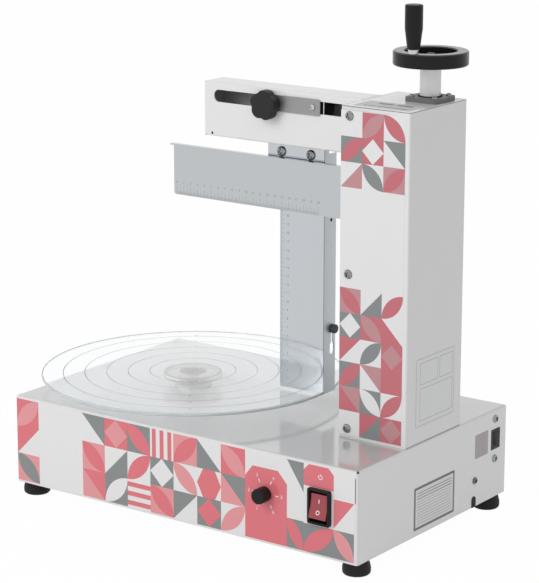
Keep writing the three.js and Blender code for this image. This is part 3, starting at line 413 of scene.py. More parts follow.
# Plans: closed loops of points in millimetres, counter clockwise
def rect(u0, u1, v0, v1):
    return [(u0, v0), (u1, v0), (u1, v1), (u0, v1)]


def widened(sides, margin):
    u0, u1, v0, v1 = sides
    return rect(u0 - margin, u1 + margin, v0 - margin, v1 + margin)


def arc(u, v, radius_u, radius_v, start, end, steps):
    points = []
    for step in range(steps + 1):
        angle = radians(start + (end - start) * step / steps)
        points.append((u + radius_u * cos(angle), v + radius_v * sin(angle)))
    return points


def disc(u, v, radius, steps=32):
    return arc(u, v, radius, radius, 0, 360, steps)[:-1]


def rounded(u0, u1, v0, v1, radius, steps=5):
    first, *others = rect(u0 + radius, u1 - radius, v0 + radius, v1 - radius)
    points = []
    for start, (u, v) in zip((-90, 0, 90, 180), (*others, first)):
        points += arc(u, v, radius, radius, start, start + 90, steps)
    return points


# Placing frames: plan axes u and v, with w out of the surface
def moved(x, y, z):
    return Matrix.Translation((x, y, z))


def on_front(y):
    return Matrix(((1, 0, 0, 0), (0, 0, -1, y), (0, 1, 0, 0), (0, 0, 0, 1)))


def on_right(x):
    return Matrix(((0, 0, 1, x), (1, 0, 0, 0), (0, 1, 0, 0), (0, 0, 0, 1)))


def on_back(y):
    return Matrix(((-1, 0, 0, 0), (0, 0, 1, y), (0, 1, 0, 0), (0, 0, 0, 1)))


# A closed flat prism from one or more loops, of which later ones are holes
def add_sheet(mesh, loops, low, high):
    points = [point for loop in loops for point in loop]
    bottom = [mesh.verts.new((u, v, low)) for u, v in points]
    top = [mesh.verts.new((u, v, high)) for u, v in points]
    plan = [[Vector((u, v, 0)) for u, v in loop] for loop in loops]
    for triangle in tessellate_polygon(plan):
        mesh.faces.new([top[index] for index in triangle])
        mesh.faces.new([bottom[index] for index in reversed(triangle)])
    start = 0
    for loop in loops:
        count = len(loop)
        for index in range(count):
            here = start + index
            after = start + (index + 1) % count
            mesh.faces.new((bottom[here], bottom[after], top[after], top[here]))
        start += count


# Steps in a letter's curves and in a plug, angle past which a round piece has an edge, reach of merged points
LETTER_STEPS = 3
PLUG_STEPS = 16
ROUND_ANGLE = 40
MERGE_DISTANCE = 0.0005


# A mesh as its modifiers or curves make it
def shape_of(thing):
    bpy.context.view_layer.update()
    return bpy.data.meshes.new_from_object(thing.evaluated_get(bpy.context.evaluated_depsgraph_get()))


# Letters and digits as closed prisms, centred on a point of the plan
def add_text(mesh, words, u, v, size, low, high, turn=0):
    curve = bpy.data.curves.new("letters", "FONT")
    curve.body = words
    curve.size = size
    curve.align_x = curve.align_y = "CENTER"
    curve.resolution_u = LETTER_STEPS
    curve.extrude = (high - low) / 2
    holder = linked("letters", curve)
    shape = shape_of(holder)
    shape.transform(moved(u, v, (low + high) / 2) @ Matrix.Rotation(turn, 4, "Z"))
    mesh.from_mesh(shape)
    bpy.data.meshes.remove(shape)
    bpy.data.objects.remove(holder)
    bpy.data.curves.remove(curve)


# A turned form about the plan's w axis, from [radius, height] points that start and end on the axis
def add_turned(mesh, profile, steps=24):
    rings = []
    for radius, height in profile:
        if radius == 0:
            rings.append([mesh.verts.new((0, 0, height))])
            continue
        circle = []
        for step in range(steps):
            angle = 2 * pi * step / steps
            circle.append(mesh.verts.new((radius * cos(angle), radius * sin(angle), height)))
        rings.append(circle)
    for lower, upper in zip(rings, rings[1:]):
        for step in range(steps):
            after = (step + 1) % steps
            corners = [
                lower[step % len(lower)], lower[after % len(lower)],
                upper[after % len(upper)], upper[step % len(upper)],
            ]
            mesh.faces.new(list(dict.fromkeys(corners)))


# A turned ring about the plan's w axis, from a closed loop of [radius, height] points
def add_ring(mesh, loop, steps):
    circles = []
    for step in range(steps):
        angle = 2 * pi * step / steps
        across = cos(angle)
        along = sin(angle)
        circles.append([mesh.verts.new((radius * across, radius * along, height)) for radius, height in loop])
    for step, circle in enumerate(circles):
        after = circles[(step + 1) % steps]
        for index in range(len(loop)):
            beside = (index + 1) % len(loop)
            mesh.faces.new((circle[index], after[index], after[beside], circle[beside]))


# An object from a mesh in millimetres
def placed(name, mesh, place):
    bmesh.ops.recalc_face_normals(mesh, faces=mesh.faces[:])
    data = bpy.data.meshes.new(name)
    mesh.to_mesh(data)
    mesh.free()
    data.transform(place @ Matrix.Scale(MM, 4))
    return linked(name, data)


def piece(name, mesh, place, material, body, angle=None):
    bmesh.ops.remove_doubles(mesh, verts=mesh.verts[:], dist=MERGE_DISTANCE)
    made = placed(name, mesh, place)
    data = made.data
    data.materials.append(material)
    if angle:
        data.polygons.foreach_set("use_smooth", [True] * len(data.polygons))
        data.set_sharp_from_angle(angle=radians(angle))
    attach(made, body)
    return made


# A piece of flat prisms, each given as loops with its lower and upper face
def flat_piece(name, sheets, place, material, body, angle=None):
    mesh = bmesh.new()
    for loops, low, high in sheets:
        add_sheet(mesh, loops, low, high)
    return piece(name, mesh, place, material, body, angle)


# Flat pieces on the painted metal of the stand
def painted(name, sheets, place, material):
    flat_piece(name, sheets, place, material, "stand")


# Small dark turned pieces
def dark_plug(name, profile, place, body):
    mesh = bmesh.new()
    add_turned(mesh, profile, PLUG_STEPS)
    piece(name, mesh, place, dark_gap, body, ROUND_ANGLE)


def ring_piece(name, loop, steps, place, material, body, angle=ROUND_ANGLE):
    mesh = bmesh.new()
    add_ring(mesh, loop, steps)
    piece(name, mesh, place, material, body, angle)


# Frames of the main faces
base_low, base_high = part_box("base_housing")
column_low, column_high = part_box("column_cover")
base_top = base_high.z / MM
base_face = on_front(base_low.y) @ moved(base_low.x, base_low.z, 0)
column_face = on_front(column_low.y) @ moved(column_low.x, column_low.z, 0)

# Layers of the printed sheets
FILM = (0, 0.1)
FIELD = (0.1, 0.13)
FIGURE = (0.13, 0.16)
MARK = (0.16, 0.2)

# Steps in a leaf's arcs and bars in a barred cell
LEAF_STEPS = 12
BAR_COUNT = 3


# One motif in a cell: leaf, triangle, diamond, hexagon, bars or a full field
def motif(shape, turn, u0, u1, v0, v1):
    middle_u = (u0 + u1) / 2
    middle_v = (v0 + v1) / 2
    width = u1 - u0
    height = v1 - v0
    if shape == "l":
        lower_arc = arc(u0, v1, width, height, -90, 0, LEAF_STEPS)
        upper_arc = arc(u1, v0, width, height, 90, 180, LEAF_STEPS)
        loop = lower_arc + upper_arc[1:-1]
        if turn == 1:
            loop = [(u0 + u1 - u, v) for u, v in reversed(loop)]
        return [loop]
    if shape == "t":
        corners = rect(u0, u1, v0, v1)
        return [[corners[(turn + step) % 4] for step in range(3)]]
    if shape == "d":
        return [[(middle_u, v0), (u1, middle_v), (middle_u, v1), (u0, middle_v)]]
    if shape == "h":
        inset = width / 4
        return [[
            (u0 + inset, v0), (u1 - inset, v0), (u1, middle_v),
            (u1 - inset, v1), (u0 + inset, v1), (u0, middle_v),
        ]]
    if shape == "b":
        slots = BAR_COUNT * 2
        bars = []
        for index in range(BAR_COUNT):
            share = (index * 2 + 0.5) / slots
            left = u0 + share * width
            lower = v0 + share * height
            if turn == 0:
                bars.append(rect(left, left + width / slots, v0, v1))
            else:
                bars.append(rect(u0, u1, lower, lower + height / slots))
        return bars
    return [rect(u0, u1, v0, v1)]


def grid(rows, u0, width, v0, height):
    cells = []
    for up, row in enumerate(reversed(rows)):
        for along, code in enumerate(row.split()):
            left = u0 + along * width
            lower = v0 + up * height
            cells.append((code, left, left + width, lower, lower + height))
    return cells


# Cells are four letters: motif, turn, ink of the motif, ink of the field
def print_sheet(stem, place, outline, holes, inks, cells, extra=()):
    painted(f"{stem}_sheet", [([outline, *holes], *FILM)], place, film)
    inked = {letter: bmesh.new() for letter in inks}
    for code, *sides in cells:
        if code == "....":
            continue
        shape, turn, figure, ground = code
        if ground != "w":
            add_sheet(inked[ground], [rect(*sides)], *FIELD)
        for loop in motif(shape, int(turn), *sides):
            add_sheet(inked[figure], [loop], *FIGURE)
    for letter, loops in extra:
        add_sheet(inked[letter], loops, *FIGURE)
    for letter, mesh in inked.items():
        word, material = inks[letter]
        if mesh.faces:
            piece(f"{stem}_{word}", mesh, place, material, "stand")
        else:
            mesh.free()


# Printed sheet on the base front
CELL_WIDTH = 33.2
CELL_HEIGHT = 33.1
PRINT_LEFT = 2.0
PRINT_RIGHT = 477.5
PRINT_BOTTOM = 2.4
SHEET_MARGIN = 0.5
BASE_ROWS = [
    "l0pc .... .... t1gw d0pc l1cg b0cw l0cp t3gw l1pc",
    "t2cw .... .... l1cp t0gw l0cw d0wg l1pw h0cw t1gp",
    "l1gp .... .... t3pc l0wg b1cw l1cp t2gw d0cg l0pw",
]
ROW_1 = PRINT_BOTTOM + CELL_HEIGHT
ROW_2 = ROW_1 + CELL_HEIGHT
PRINT_TOP = PRINT_BOTTOM + len(BASE_ROWS) * CELL_HEIGHT
DIAL_LEFT = 334.0
DIAL_RIGHT = 390.0
DIAL_SHOULDER = 16.0
DIAL_CROWN = 29.0
DIAL_CROWN_HALF = 17.0
BUSH_RADIUS = 5.2
SWITCH_LEFT = 412.0
SWITCH_RIGHT = 451.0
SWITCH_GAP = 1.0
SIGN_GAP = 0.4
SIGN_CORNER = 7.0
BEZEL_GAP = 0.2
knob_low, knob_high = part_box("speed_knob")
dial_u = ((knob_low.x + knob_high.x) / 2 - base_low.x) / MM
dial_v = ((knob_low.z + knob_high.z) / 2 - base_low.z) / MM
bezel_low, bezel_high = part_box("switch_housing")
bezel_u0 = (bezel_low.x - base_low.x) / MM
bezel_u1 = (bezel_high.x - base_low.x) / MM
bezel_v0 = (bezel_low.z - base_low.z) / MM
bezel_v1 = (bezel_high.z - base_low.z) / MM
base_cells = grid(BASE_ROWS, PRINT_LEFT, CELL_WIDTH, PRINT_BOTTOM, CELL_HEIGHT) + [
    ("t1gw", DIAL_RIGHT, SWITCH_LEFT, ROW_2, PRINT_TOP),
    ("l1cg", DIAL_RIGHT, SWITCH_LEFT, PRINT_BOTTOM, ROW_1),
    ("l0cg", SWITCH_LEFT, SWITCH_RIGHT, PRINT_BOTTOM, ROW_1 - SWITCH_GAP),
    ("t2cw", SWITCH_RIGHT, PRINT_RIGHT, ROW_1, ROW_2),
    ("l1pg", SWITCH_RIGHT, PRINT_RIGHT, PRINT_BOTTOM, ROW_1 - SWITCH_GAP),
]
dial_field = [
    (DIAL_LEFT, PRINT_BOTTOM), (DIAL_RIGHT, PRINT_BOTTOM), (DIAL_RIGHT, dial_v + DIAL_SHOULDER),
    (dial_u + DIAL_CROWN_HALF, dial_v + DIAL_CROWN), (dial_u - DIAL_CROWN_HALF, dial_v + DIAL_CROWN),
    (DIAL_LEFT, dial_v + DIAL_SHOULDER),
]
sign_bottom = bezel_v1 + SIGN_GAP
sign_shoulder = PRINT_TOP - SIGN_CORNER
sign_field = [
    (SWITCH_LEFT, sign_bottom), (SWITCH_RIGHT, sign_bottom), (SWITCH_RIGHT, sign_shoulder),
    (SWITCH_RIGHT - SIGN_CORNER, PRINT_TOP), (SWITCH_LEFT + SIGN_CORNER, PRINT_TOP),
    (SWITCH_LEFT, sign_shoulder),
]
bush_hole = disc(dial_u, dial_v, BUSH_RADIUS)
bezel_hole = widened((bezel_u0, bezel_u1, bezel_v0, bezel_v1), BEZEL_GAP)
print_sheet(
    "base_print", base_face, widened((PRINT_LEFT, PRINT_RIGHT, PRINT_BOTTOM, PRINT_TOP), SHEET_MARGIN),
    [bush_hole, bezel_hole], base_inks, base_cells, [("c", [dial_field, bush_hole]), ("c", [sign_field])],
)

# Dial ticks and numbers round the speed knob, and the power sign above the switch
DIAL_COUNT = 6
DIAL_START = 240
DIAL_STEP = 60
TICK_NEAR = 13.5
TICK_FAR = 17.6
TICK_HALF = 0.55
NUMBER_REACH = 22
NUMBER_SIZE = 5.6
SIGN_RISE = 13
SIGN_OUTER = 2.9
SIGN_INNER = 2.1
SIGN_START = 125
SIGN_END = 415
SIGN_STEPS = 24
SIGN_BAR_HALF = 0.4
SIGN_BAR_LOW = 0.2
SIGN_BAR_HIGH = 3.3
mesh = bmesh.new()
for index in range(DIAL_COUNT):
    angle = radians(DIAL_START - index * DIAL_STEP)
    across = cos(angle)
    up = sin(angle)
    corners = []
    for reach, side in ((TICK_NEAR, 1), (TICK_FAR, 1), (TICK_FAR, -1), (TICK_NEAR, -1)):
        aside = side * TICK_HALF
        corners.append((dial_u + across * reach + up * aside, dial_v + up * reach - across * aside))
    add_sheet(mesh, [corners], *MARK)
    spot = (dial_u + across * NUMBER_REACH, dial_v + up * NUMBER_REACH)
    add_text(mesh, str(index + 1), *spot, NUMBER_SIZE, *MARK)
switch_u = (bezel_u0 + bezel_u1) / 2
sign_v = bezel_v1 + SIGN_RISE
outer_arc = arc(switch_u, sign_v, SIGN_OUTER, SIGN_OUTER, SIGN_START, SIGN_END, SIGN_STEPS)
inner_arc = arc(switch_u, sign_v, SIGN_INNER, SIGN_INNER, SIGN_END, SIGN_START, SIGN_STEPS)
sign_bar = rect(
    switch_u - SIGN_BAR_HALF, switch_u + SIGN_BAR_HALF, sign_v + SIGN_BAR_LOW, sign_v + SIGN_BAR_HIGH,
)
for loop in (outer_arc + inner_arc, sign_bar):
    add_sheet(mesh, [loop], *MARK)
piece("dial_marks", mesh, base_face, white_mark, "stand")

# Printed sheet on the column front
COLUMN_CELL_U = 27.2
COLUMN_CELL_V = 27.7
COLUMN_LEFT = 0.4
COLUMN_BOTTOM = 3.0
COLUMN_ACROSS = 3
COLUMN_MARGIN = 0.2
SCREW_CLEARANCE = 0.3
COLUMN_ROWS = [
    ".... l0pc l1cw",
    "l0cg d0wc t1gw",
    "t0pw l1gw l0cp",
    *[".... .... ...."] * 4,
    "l1cp t0gw l0cw",
    "d0wg l1pc t3cw",
    "t2cw l0gw d0pc",
    "l0cg t1pw s0cw",
    "t1pc l1wg l0cw",
    ".... t2cg d0pc",
]
column_cells = grid(COLUMN_ROWS, COLUMN_LEFT, COLUMN_CELL_U, COLUMN_BOTTOM, COLUMN_CELL_V)
column_sheet = rect(
    COLUMN_LEFT - COLUMN_MARGIN, COLUMN_LEFT + COLUMN_ACROSS * COLUMN_CELL_U + COLUMN_MARGIN,
    COLUMN_BOTTOM - SHEET_MARGIN, COLUMN_BOTTOM + len(COLUMN_ROWS) * COLUMN_CELL_V + SHEET_MARGIN,
)
screw_holes = []
for name in ("cover_screw_bottom", "cover_screw_middle", "cover_screw_top"):
    low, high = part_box(name)
    u = ((low.x + high.x) / 2 - column_low.x) / MM
    v = ((low.z + high.z) / 2 - column_low.z) / MM
    screw_holes.append(disc(u, v, (high.x - low.x) / 2 / MM + SCREW_CLEARANCE))
print_sheet("column_print", column_face, column_sheet, screw_holes, column_inks, column_cells)

# Shapes of a screw's crown and drive recess, as shares of the head's radius and height
CROWN = ((1.0, 0.0), (1.0, 0.35), (0.93, 0.6), (0.72, 0.9), (0.4, 1.0))
DRIVE_ARM = 0.62
DRIVE_HALF = 0.19
DRIVE_FLOOR = 0.35
DRIVE_TOP = 2


# A screw with a crown and a cross recess, about the w axis: radius and height of the head, then of its shank
def cross_screw(name, place, radius, head, shank, length, body, metal):
    stem = [(0, -length), (shank, -length), (shank, 0)]
    crown = [(radius * across, head * up) for across, up in CROWN]
    mesh = bmesh.new()
    add_turned(mesh, [*stem, *crown, (0, head)])
    made = piece(name, mesh, place, metal, body, ROUND_ANGLE)
    arm = radius * DRIVE_ARM
    half = radius * DRIVE_HALF
    corner = [(half, -arm), (half, -half), (arm, -half)]
    plus = []
    for _ in range(4):
        plus += corner
        corner = [(-v, u) for u, v in corner]
    mesh = bmesh.new()
    add_sheet(mesh, [plus], head * DRIVE_FLOOR, head * DRIVE_TOP)
    cutter = placed("cutter", mesh, place)
    recess = made.modifiers.new("recess", "BOOLEAN")
    recess.object = cutter
    recess.solver = "EXACT"
    carved = shape_of(made)
    made.modifiers.clear()
    made.data = carved
    carved.set_sharp_from_angle(angle=radians(ROUND_ANGLE))
    bpy.data.objects.remove(cutter)
    return made


def spun(turn):
    return Matrix.Rotation(radians(turn), 4, "Z")


# Screws that stand for packed ones, with the turn of each recess. The flange's look up.
# A shank has its radius and length, then the height of the head above it.
COVER_SHANK = (2.5, 9.0, 2.6)
HANGER_SHANK = (2.5, 7.8, 2.6)
STRAP_SHANK = (2.0, 28.6, 2.4)
FLANGE_SHANK = (1.8, 8.0, 2.4)
FRONT_SCREWS = (
    ("cover_screw_top", 20, "stand", COVER_SHANK, screw_steel),
    ("cover_screw_middle", 65, "stand", COVER_SHANK, screw_steel),
    ("cover_screw_bottom", 40, "stand", COVER_SHANK, screw_steel),
    ("hanger_screw_left", 12, "slider", HANGER_SHANK, screw_steel),
    ("hanger_screw_right", 50, "slider", HANGER_SHANK, screw_steel),
    ("strap_screw", 30, "slider", STRAP_SHANK, bright_steel),
)
FLANGE_SCREWS = tuple(
    (f"flange_screw_{number}", turn, "stand", FLANGE_SHANK, screw_steel)
    for number, turn in enumerate((15, 70, 35, 50), start=1)
)
for name, turn, body, (shank, length, head), metal in FRONT_SCREWS + FLANGE_SCREWS:
    low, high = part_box(name)
    middle = (low + high) / 2
    radius = (high.x - low.x) / 2 / MM
    if name.startswith("flange"):
        place = moved(middle.x, middle.y, high.z - head * MM) @ spun(turn)
    else:
        place = moved(middle.x, low.y + head * MM, middle.z) @ on_front(0) @ spun(turn)
    made = cross_screw(f"{name}_detail", place, radius, head, shank, length, body, metal)
    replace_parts(made, name)

# Dark seal round the foot of the spacer tube, on the bearing flange
SEAL_WIDTH = 2.0
SEAL_HEIGHT = 0.9
SEAL_SLOPE = 0.4
SEAL_STEPS = 48
tube_low, tube_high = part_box("spacer_tube")
tube_middle = (tube_low + tube_high) / 2
tube_radius = (tube_high.x - tube_low.x) / 2 / MM
seal_outer = tube_radius + SEAL_WIDTH
seal_place = moved(tube_middle.x, tube_middle.y, tube_low.z)
seal_loop = [
    (tube_radius, 0), (seal_outer, 0), (seal_outer - SEAL_SLOPE, SEAL_HEIGHT), (tube_radius, SEAL_HEIGHT),
]
ring_piece("tube_seal", seal_loop, SEAL_STEPS, seal_place, dark_gap, "stand")

# Screws on the right side: two that hold the inlet and one lower down
WALL_CROWN = 2.3
WALL_SHANK = 1.9
RIGHT_LENGTH = 1.2
for name, y, drop, turn, radius, metal in (
    ("inlet_screw_upper", 129.5, 11.0, 25, 4.6, screw_steel),
    ("inlet_screw_lower", 129.5, 58.4, 60, 4.6, screw_steel),
    ("panel_screw", 86.4, 73.7, 10, 4.0, dark_steel),
):
    spot = moved(base_high.x, y * MM, base_high.z - drop * MM)
    place = spot @ on_right(0) @ spun(turn)
    cross_screw(name, place, radius, WALL_CROWN, WALL_SHANK, RIGHT_LENGTH, "stand", metal)

# Screws on the back: four low on the base and four on the column's shell
BACK_RISE = 9 * MM
BACK_INSET = 40 * MM
BACK_MIDDLES = (-0.07, 0.09)
SHELL_INSET = 12 * MM
SHELL_RISE = 14 * MM
BACK_TURN = 37
BACK_RADIUS = 4.0
BACK_LENGTH = 1.0
shell_low, shell_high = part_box("column_shell")
back_screws = [
    (f"base_back_screw_{index + 1}", x, base_high.y, base_low.z + BACK_RISE)
    for index, x in enumerate((base_low.x + BACK_INSET, *BACK_MIDDLES, base_high.x - BACK_INSET))
]
for side, x in (("left", shell_low.x + SHELL_INSET), ("right", column_high.x - SHELL_INSET)):
    for level, z in (("lower", column_low.z + SHELL_RISE), ("upper", column_high.z - SHELL_RISE)):
        back_screws.append((f"column_back_screw_{side}_{level}", x, column_high.y, z))
for index, (name, x, y, z) in enumerate(back_screws):
    place = moved(x, y, z) @ on_back(0) @ spun(index * BACK_TURN)
    cross_screw(name, place, BACK_RADIUS, WALL_CROWN, WALL_SHANK, BACK_LENGTH, "stand", screw_steel)

# Strokes of a ruler: length and half width at centimetres, half centimetres and millimetres
ENGRAVE = (0, 0.04)
CENTIMETRE = 10
STROKE_START = 0.3
STROKE_HALF = 0.16
FINE_HALF = 0.11
RULER_TEXT = 4.0


def stroke(tick, long, middling, short):
    if tick % CENTIMETRE == 0:
        return long, STROKE_HALF
    if tick % (CENTIMETRE // 2) == 0:
        return middling, STROKE_HALF
    return short, FINE_HALF


# Ruler along the lower edge of the cross blade
CROSS_STROKES = (9.0, 6.5, 3.6)
CROSS_LAST = 200
CROSS_TEXT_RISE = 14.6
CROSS_FACE = -1.5 * MM
RULER_ZERO = 4.0
blade_low, blade_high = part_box("cross_blade")
ruler_left = blade_low.x / MM + RULER_ZERO
ruler_bottom = blade_low.z / MM
mesh = bmesh.new()
for tick in range(CROSS_LAST + 1):
    length, half = stroke(tick, *CROSS_STROKES)
    u = ruler_left + tick
    add_sheet(mesh, [rect(u - half, u + half, ruler_bottom + STROKE_START, ruler_bottom + length)], *ENGRAVE)
for number in range(CROSS_LAST // CENTIMETRE + 1):
    u = ruler_left + number * CENTIMETRE
    add_text(mesh, str(number), u, ruler_bottom + CROSS_TEXT_RISE, RULER_TEXT, *ENGRAVE)
piece("cross_ruler", mesh, on_front(CROSS_FACE), engraved, "lift")

# Ruler up the left edge of the upright blade
UPRIGHT_STROKES = (6.0, 4.5, 2.8)
UPRIGHT_FIRST = 5
UPRIGHT_LAST = 245
UPRIGHT_TEXT_SIDE = 10.4
UPRIGHT_ZERO = 0.7
HEAD_SIDE = 17.0
upright_low, upright_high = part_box("vertical_blade")
ruler_left = upright_low.x / MM + HEAD_SIDE
ruler_bottom = upright_low.z / MM + UPRIGHT_ZERO
mesh = bmesh.new()
for tick in range(UPRIGHT_FIRST, UPRIGHT_LAST + 1):
    length, half = stroke(tick, *UPRIGHT_STROKES)
    v = ruler_bottom + tick
    add_sheet(mesh, [rect(ruler_left + STROKE_START, ruler_left + length, v - half, v + half)], *ENGRAVE)
for number in range(1, UPRIGHT_LAST // CENTIMETRE + 1):
    v = ruler_bottom + number * CENTIMETRE
    add_text(mesh, str(number), ruler_left + UPRIGHT_TEXT_SIDE, v, RULER_TEXT, *ENGRAVE)
piece("upright_ruler", mesh, on_front(upright_low.y), engraved, "slider")

# Dark line along the fold of the upright blade, and a plug in the hole of its flange
FOLD_LINE = 0.7
FOLD_INSET = 0.2
FOLD_END = 0.4
FLANGE_HOLE_RISE = 200.2
FLANGE_HOLE_BACK = 13.0
PLUG = [(0, -1.6), (1.9, -1.6), (1.9, 0.1), (1.4, 0.3), (0, 0.3)]
fold_right = upright_high.x / MM - FOLD_INSET
fold_plan = rect(
    fold_right - FOLD_LINE, fold_right, upright_low.z / MM + FOLD_END, upright_high.z / MM - FOLD_END,
)
flat_piece("fold_line", [([fold_plan], *ENGRAVE)], on_front(upright_low.y), fold_dark, "slider")
plug = moved(upright_high.x, upright_low.y + FLANGE_HOLE_BACK * MM, upright_low.z + FLANGE_HOLE_RISE * MM)
dark_plug("flange_plug", PLUG, plug @ on_right(0), "slider")

# Etched rings on the plate, with their diameters in inches, and a fine line inside the rim
INCH = 25.4
RING_INCHES = (4, 6, 8, 10, 12)
RING_WIDTH = 0.9
RING_TEXT = 6.0
RING_TEXT_GAP = 5
RIM_LINE = 0.5
PLATE_EDGE = 0.8
PLATE_STEPS = 128
plate_low, plate_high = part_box("cake_plate")
plate_middle = (plate_low + plate_high) / 2
plate_radius = (plate_high.x - plate_low.x) / 2 / MM
plate_depth = (plate_high.z - plate_low.z) / MM
plate_face = moved(plate_middle.x, plate_middle.y, plate_high.z)


def add_circle(mesh, radius, width):
    edges = (radius + width / 2, radius - width / 2)
    add_sheet(mesh, [disc(0, 0, edge, PLATE_STEPS) for edge in edges], *ENGRAVE)


mesh = bmesh.new()
for inches in RING_INCHES:
    radius = inches * INCH / 2
    add_circle(mesh, radius, RING_WIDTH)
    reach = radius + RING_TEXT_GAP
    for turn in (YAW, YAW + 180):
        angle = radians(turn - 90)
        spot = (reach * cos(angle), reach * sin(angle))
        add_text(mesh, str(inches), *spot, RING_TEXT, *ENGRAVE, radians(turn))
add_circle(mesh, plate_radius - PLATE_EDGE - RIM_LINE, RIM_LINE)
piece("plate_rings", mesh, plate_face, etched, "turntable")

# Polished edge of the plate: a thin shell over its rim and chamfers
SHELL = 0.1
RIM_ANGLE = 50
rim_inside = [
    (plate_radius - PLATE_EDGE, -plate_depth), (plate_radius, PLATE_EDGE - plate_depth),
    (plate_radius, -PLATE_EDGE), (plate_radius - PLATE_EDGE, 0),
]
rim_outside = [(radius + SHELL, height) for radius, height in reversed(rim_inside)]
rim_loop = rim_inside + rim_outside
ring_piece("plate_rim", rim_loop, PLATE_STEPS, plate_face, rim_glass, "turntable", RIM_ANGLE)

# Pad under the plate in two rubbers, and a bolt with its washer in the middle of the hub
PAD_STEP = 31.2
PAD_BORE = 16.5
PAD_STEPS = 64
WASHER = [(0, 0), (15.6, 0), (15.6, 0.5), (15.0, 0.7), (0, 0.7)]
WASHER_STEPS = 48
BOLT_RADII = (6.2, 3.0)
BOLT_SIDES = 6
BOLT_LAYER = (0.7, 1.3)
pad_low, pad_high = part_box("hub_pad")
pad_radius = (pad_high.x - pad_low.x) / 2 / MM
pad_height = (pad_high.z - pad_low.z) / MM
pad_face = moved(plate_middle.x, plate_middle.y, pad_low.z)
pad_radii = (pad_radius, PAD_STEP, PAD_BORE)
pad_edge, pad_step, pad_bore = (disc(0, 0, radius, PAD_STEPS) for radius in pad_radii)
outer_sheet = ([pad_edge, pad_step], 0, pad_height)
inner_sheet = ([pad_step, pad_bore], 0, pad_height)
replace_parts(flat_piece("pad_outer", [outer_sheet], pad_face, pad_rubber, "turntable"), "hub_pad")
flat_piece("pad_inner", [inner_sheet], pad_face, pale_rubber, "turntable")
mesh = bmesh.new()
add_turned(mesh, WASHER, WASHER_STEPS)
add_sheet(mesh, [disc(0, 0, radius, BOLT_SIDES) for radius in BOLT_RADII], *BOLT_LAYER)
piece("hub_bolt", mesh, pad_face, bolt_steel, "turntable", ROUND_ANGLE)

# Trim round the lower edge of the hub's flange
HUB_FLANGE = 4.0
TRIM_WIDTH = 0.5
TRIM_HEIGHT = 0.8
TRIM_STEPS = 96
trim_outer = pad_radius + TRIM_WIDTH
trim_loop = [
    (pad_radius, -HUB_FLANGE), (trim_outer, -HUB_FLANGE),
    (trim_outer, TRIM_HEIGHT - HUB_FLANGE), (pad_radius, TRIM_HEIGHT - HUB_FLANGE),
]
ring_piece("hub_trim", trim_loop, TRIM_STEPS, pad_face, bolt_steel, "turntable")

# Marks on the rocker: a bar on its upper half and a ring on its lower half
ROCKER_TILT = radians(-12)
ROCKER_VALLEY = 3.0
ROCKER_RISE = 1.5
ROCKER_HALF = 13.5
ROCKER_BAR = (-0.5, 0.5, 3.6, 8)
ROCKER_RING_V = -6.6
ROCKER_RING_RADII = (2.5, 1.6)
ROCKER_MARK = (0, 0.06)
FACE_SLOPE = atan2(ROCKER_RISE, ROCKER_HALF)
rocker_low, rocker_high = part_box("power_rocker")
pivot = Vector(((rocker_low.x + rocker_high.x) / 2, base_low.y, (bezel_low.z + bezel_high.z) / 2))
rocker_ring = [disc(0, ROCKER_RING_V, radius) for radius in ROCKER_RING_RADII]
for name, side, loops in (("rocker_bar", 1, [rect(*ROCKER_BAR)]), ("rocker_ring", -1, rocker_ring)):
    place = (
        moved(*pivot) @ Matrix.Rotation(ROCKER_TILT, 4, "X")
        @ moved(0, -ROCKER_VALLEY * MM, 0) @ Matrix.Rotation(side * FACE_SLOPE, 4, "X")
        @ on_front(0)
    )
    flat_piece(name, [(loops, *ROCKER_MARK)], place, white_mark, "rocker")

# Blank plates on the right side: side edges, lower and upper edge below the base top, corner radius
RATING_PLATE = (-41, 42, 98, 49, 1.2)
RATING_INSIDE = (-38.2, 39.2, 95.2, 51.8, 0.6)
RATING_LAYER = (0, 0.3)
BORDER_LAYER = (0.3, 0.36)
ROW_LAYER = (0.3, 0.33)
RATING_ROWS = 12
THIN_ROWS = 9
THIN_ROW = 0.35
THICK_ROW = 0.8
ROW_SIDES = (-35, 36)
ROW_DROP = 92
ROW_STEP = 3.2
INLET_PLATE = (86, 114, 48.5, 20.5, 1.0)
INLET_LAYER = (0, 0.15)
side_face = on_right(base_high.x)


def hung(u0, u1, lower, upper, radius):
    return rounded(u0, u1, base_top - lower, base_top - upper, radius)


rating_edge = hung(*RATING_PLATE)
rating_marks = [([rating_edge, hung(*RATING_INSIDE)], *BORDER_LAYER)]
for row in range(RATING_ROWS):
    row_v = base_top - ROW_DROP + row * ROW_STEP
    row_height = THIN_ROW if row < THIN_ROWS else THICK_ROW
    rating_marks.append(([rect(*ROW_SIDES, row_v, row_v + row_height)], *ROW_LAYER))
painted("rating_plate", [([rating_edge], *RATING_LAYER)], side_face, plate_silver)
painted("rating_plate_border", rating_marks, side_face, plate_border)
painted("inlet_plate", [([hung(*INLET_PLATE)], *INLET_LAYER)], side_face, label_taupe)

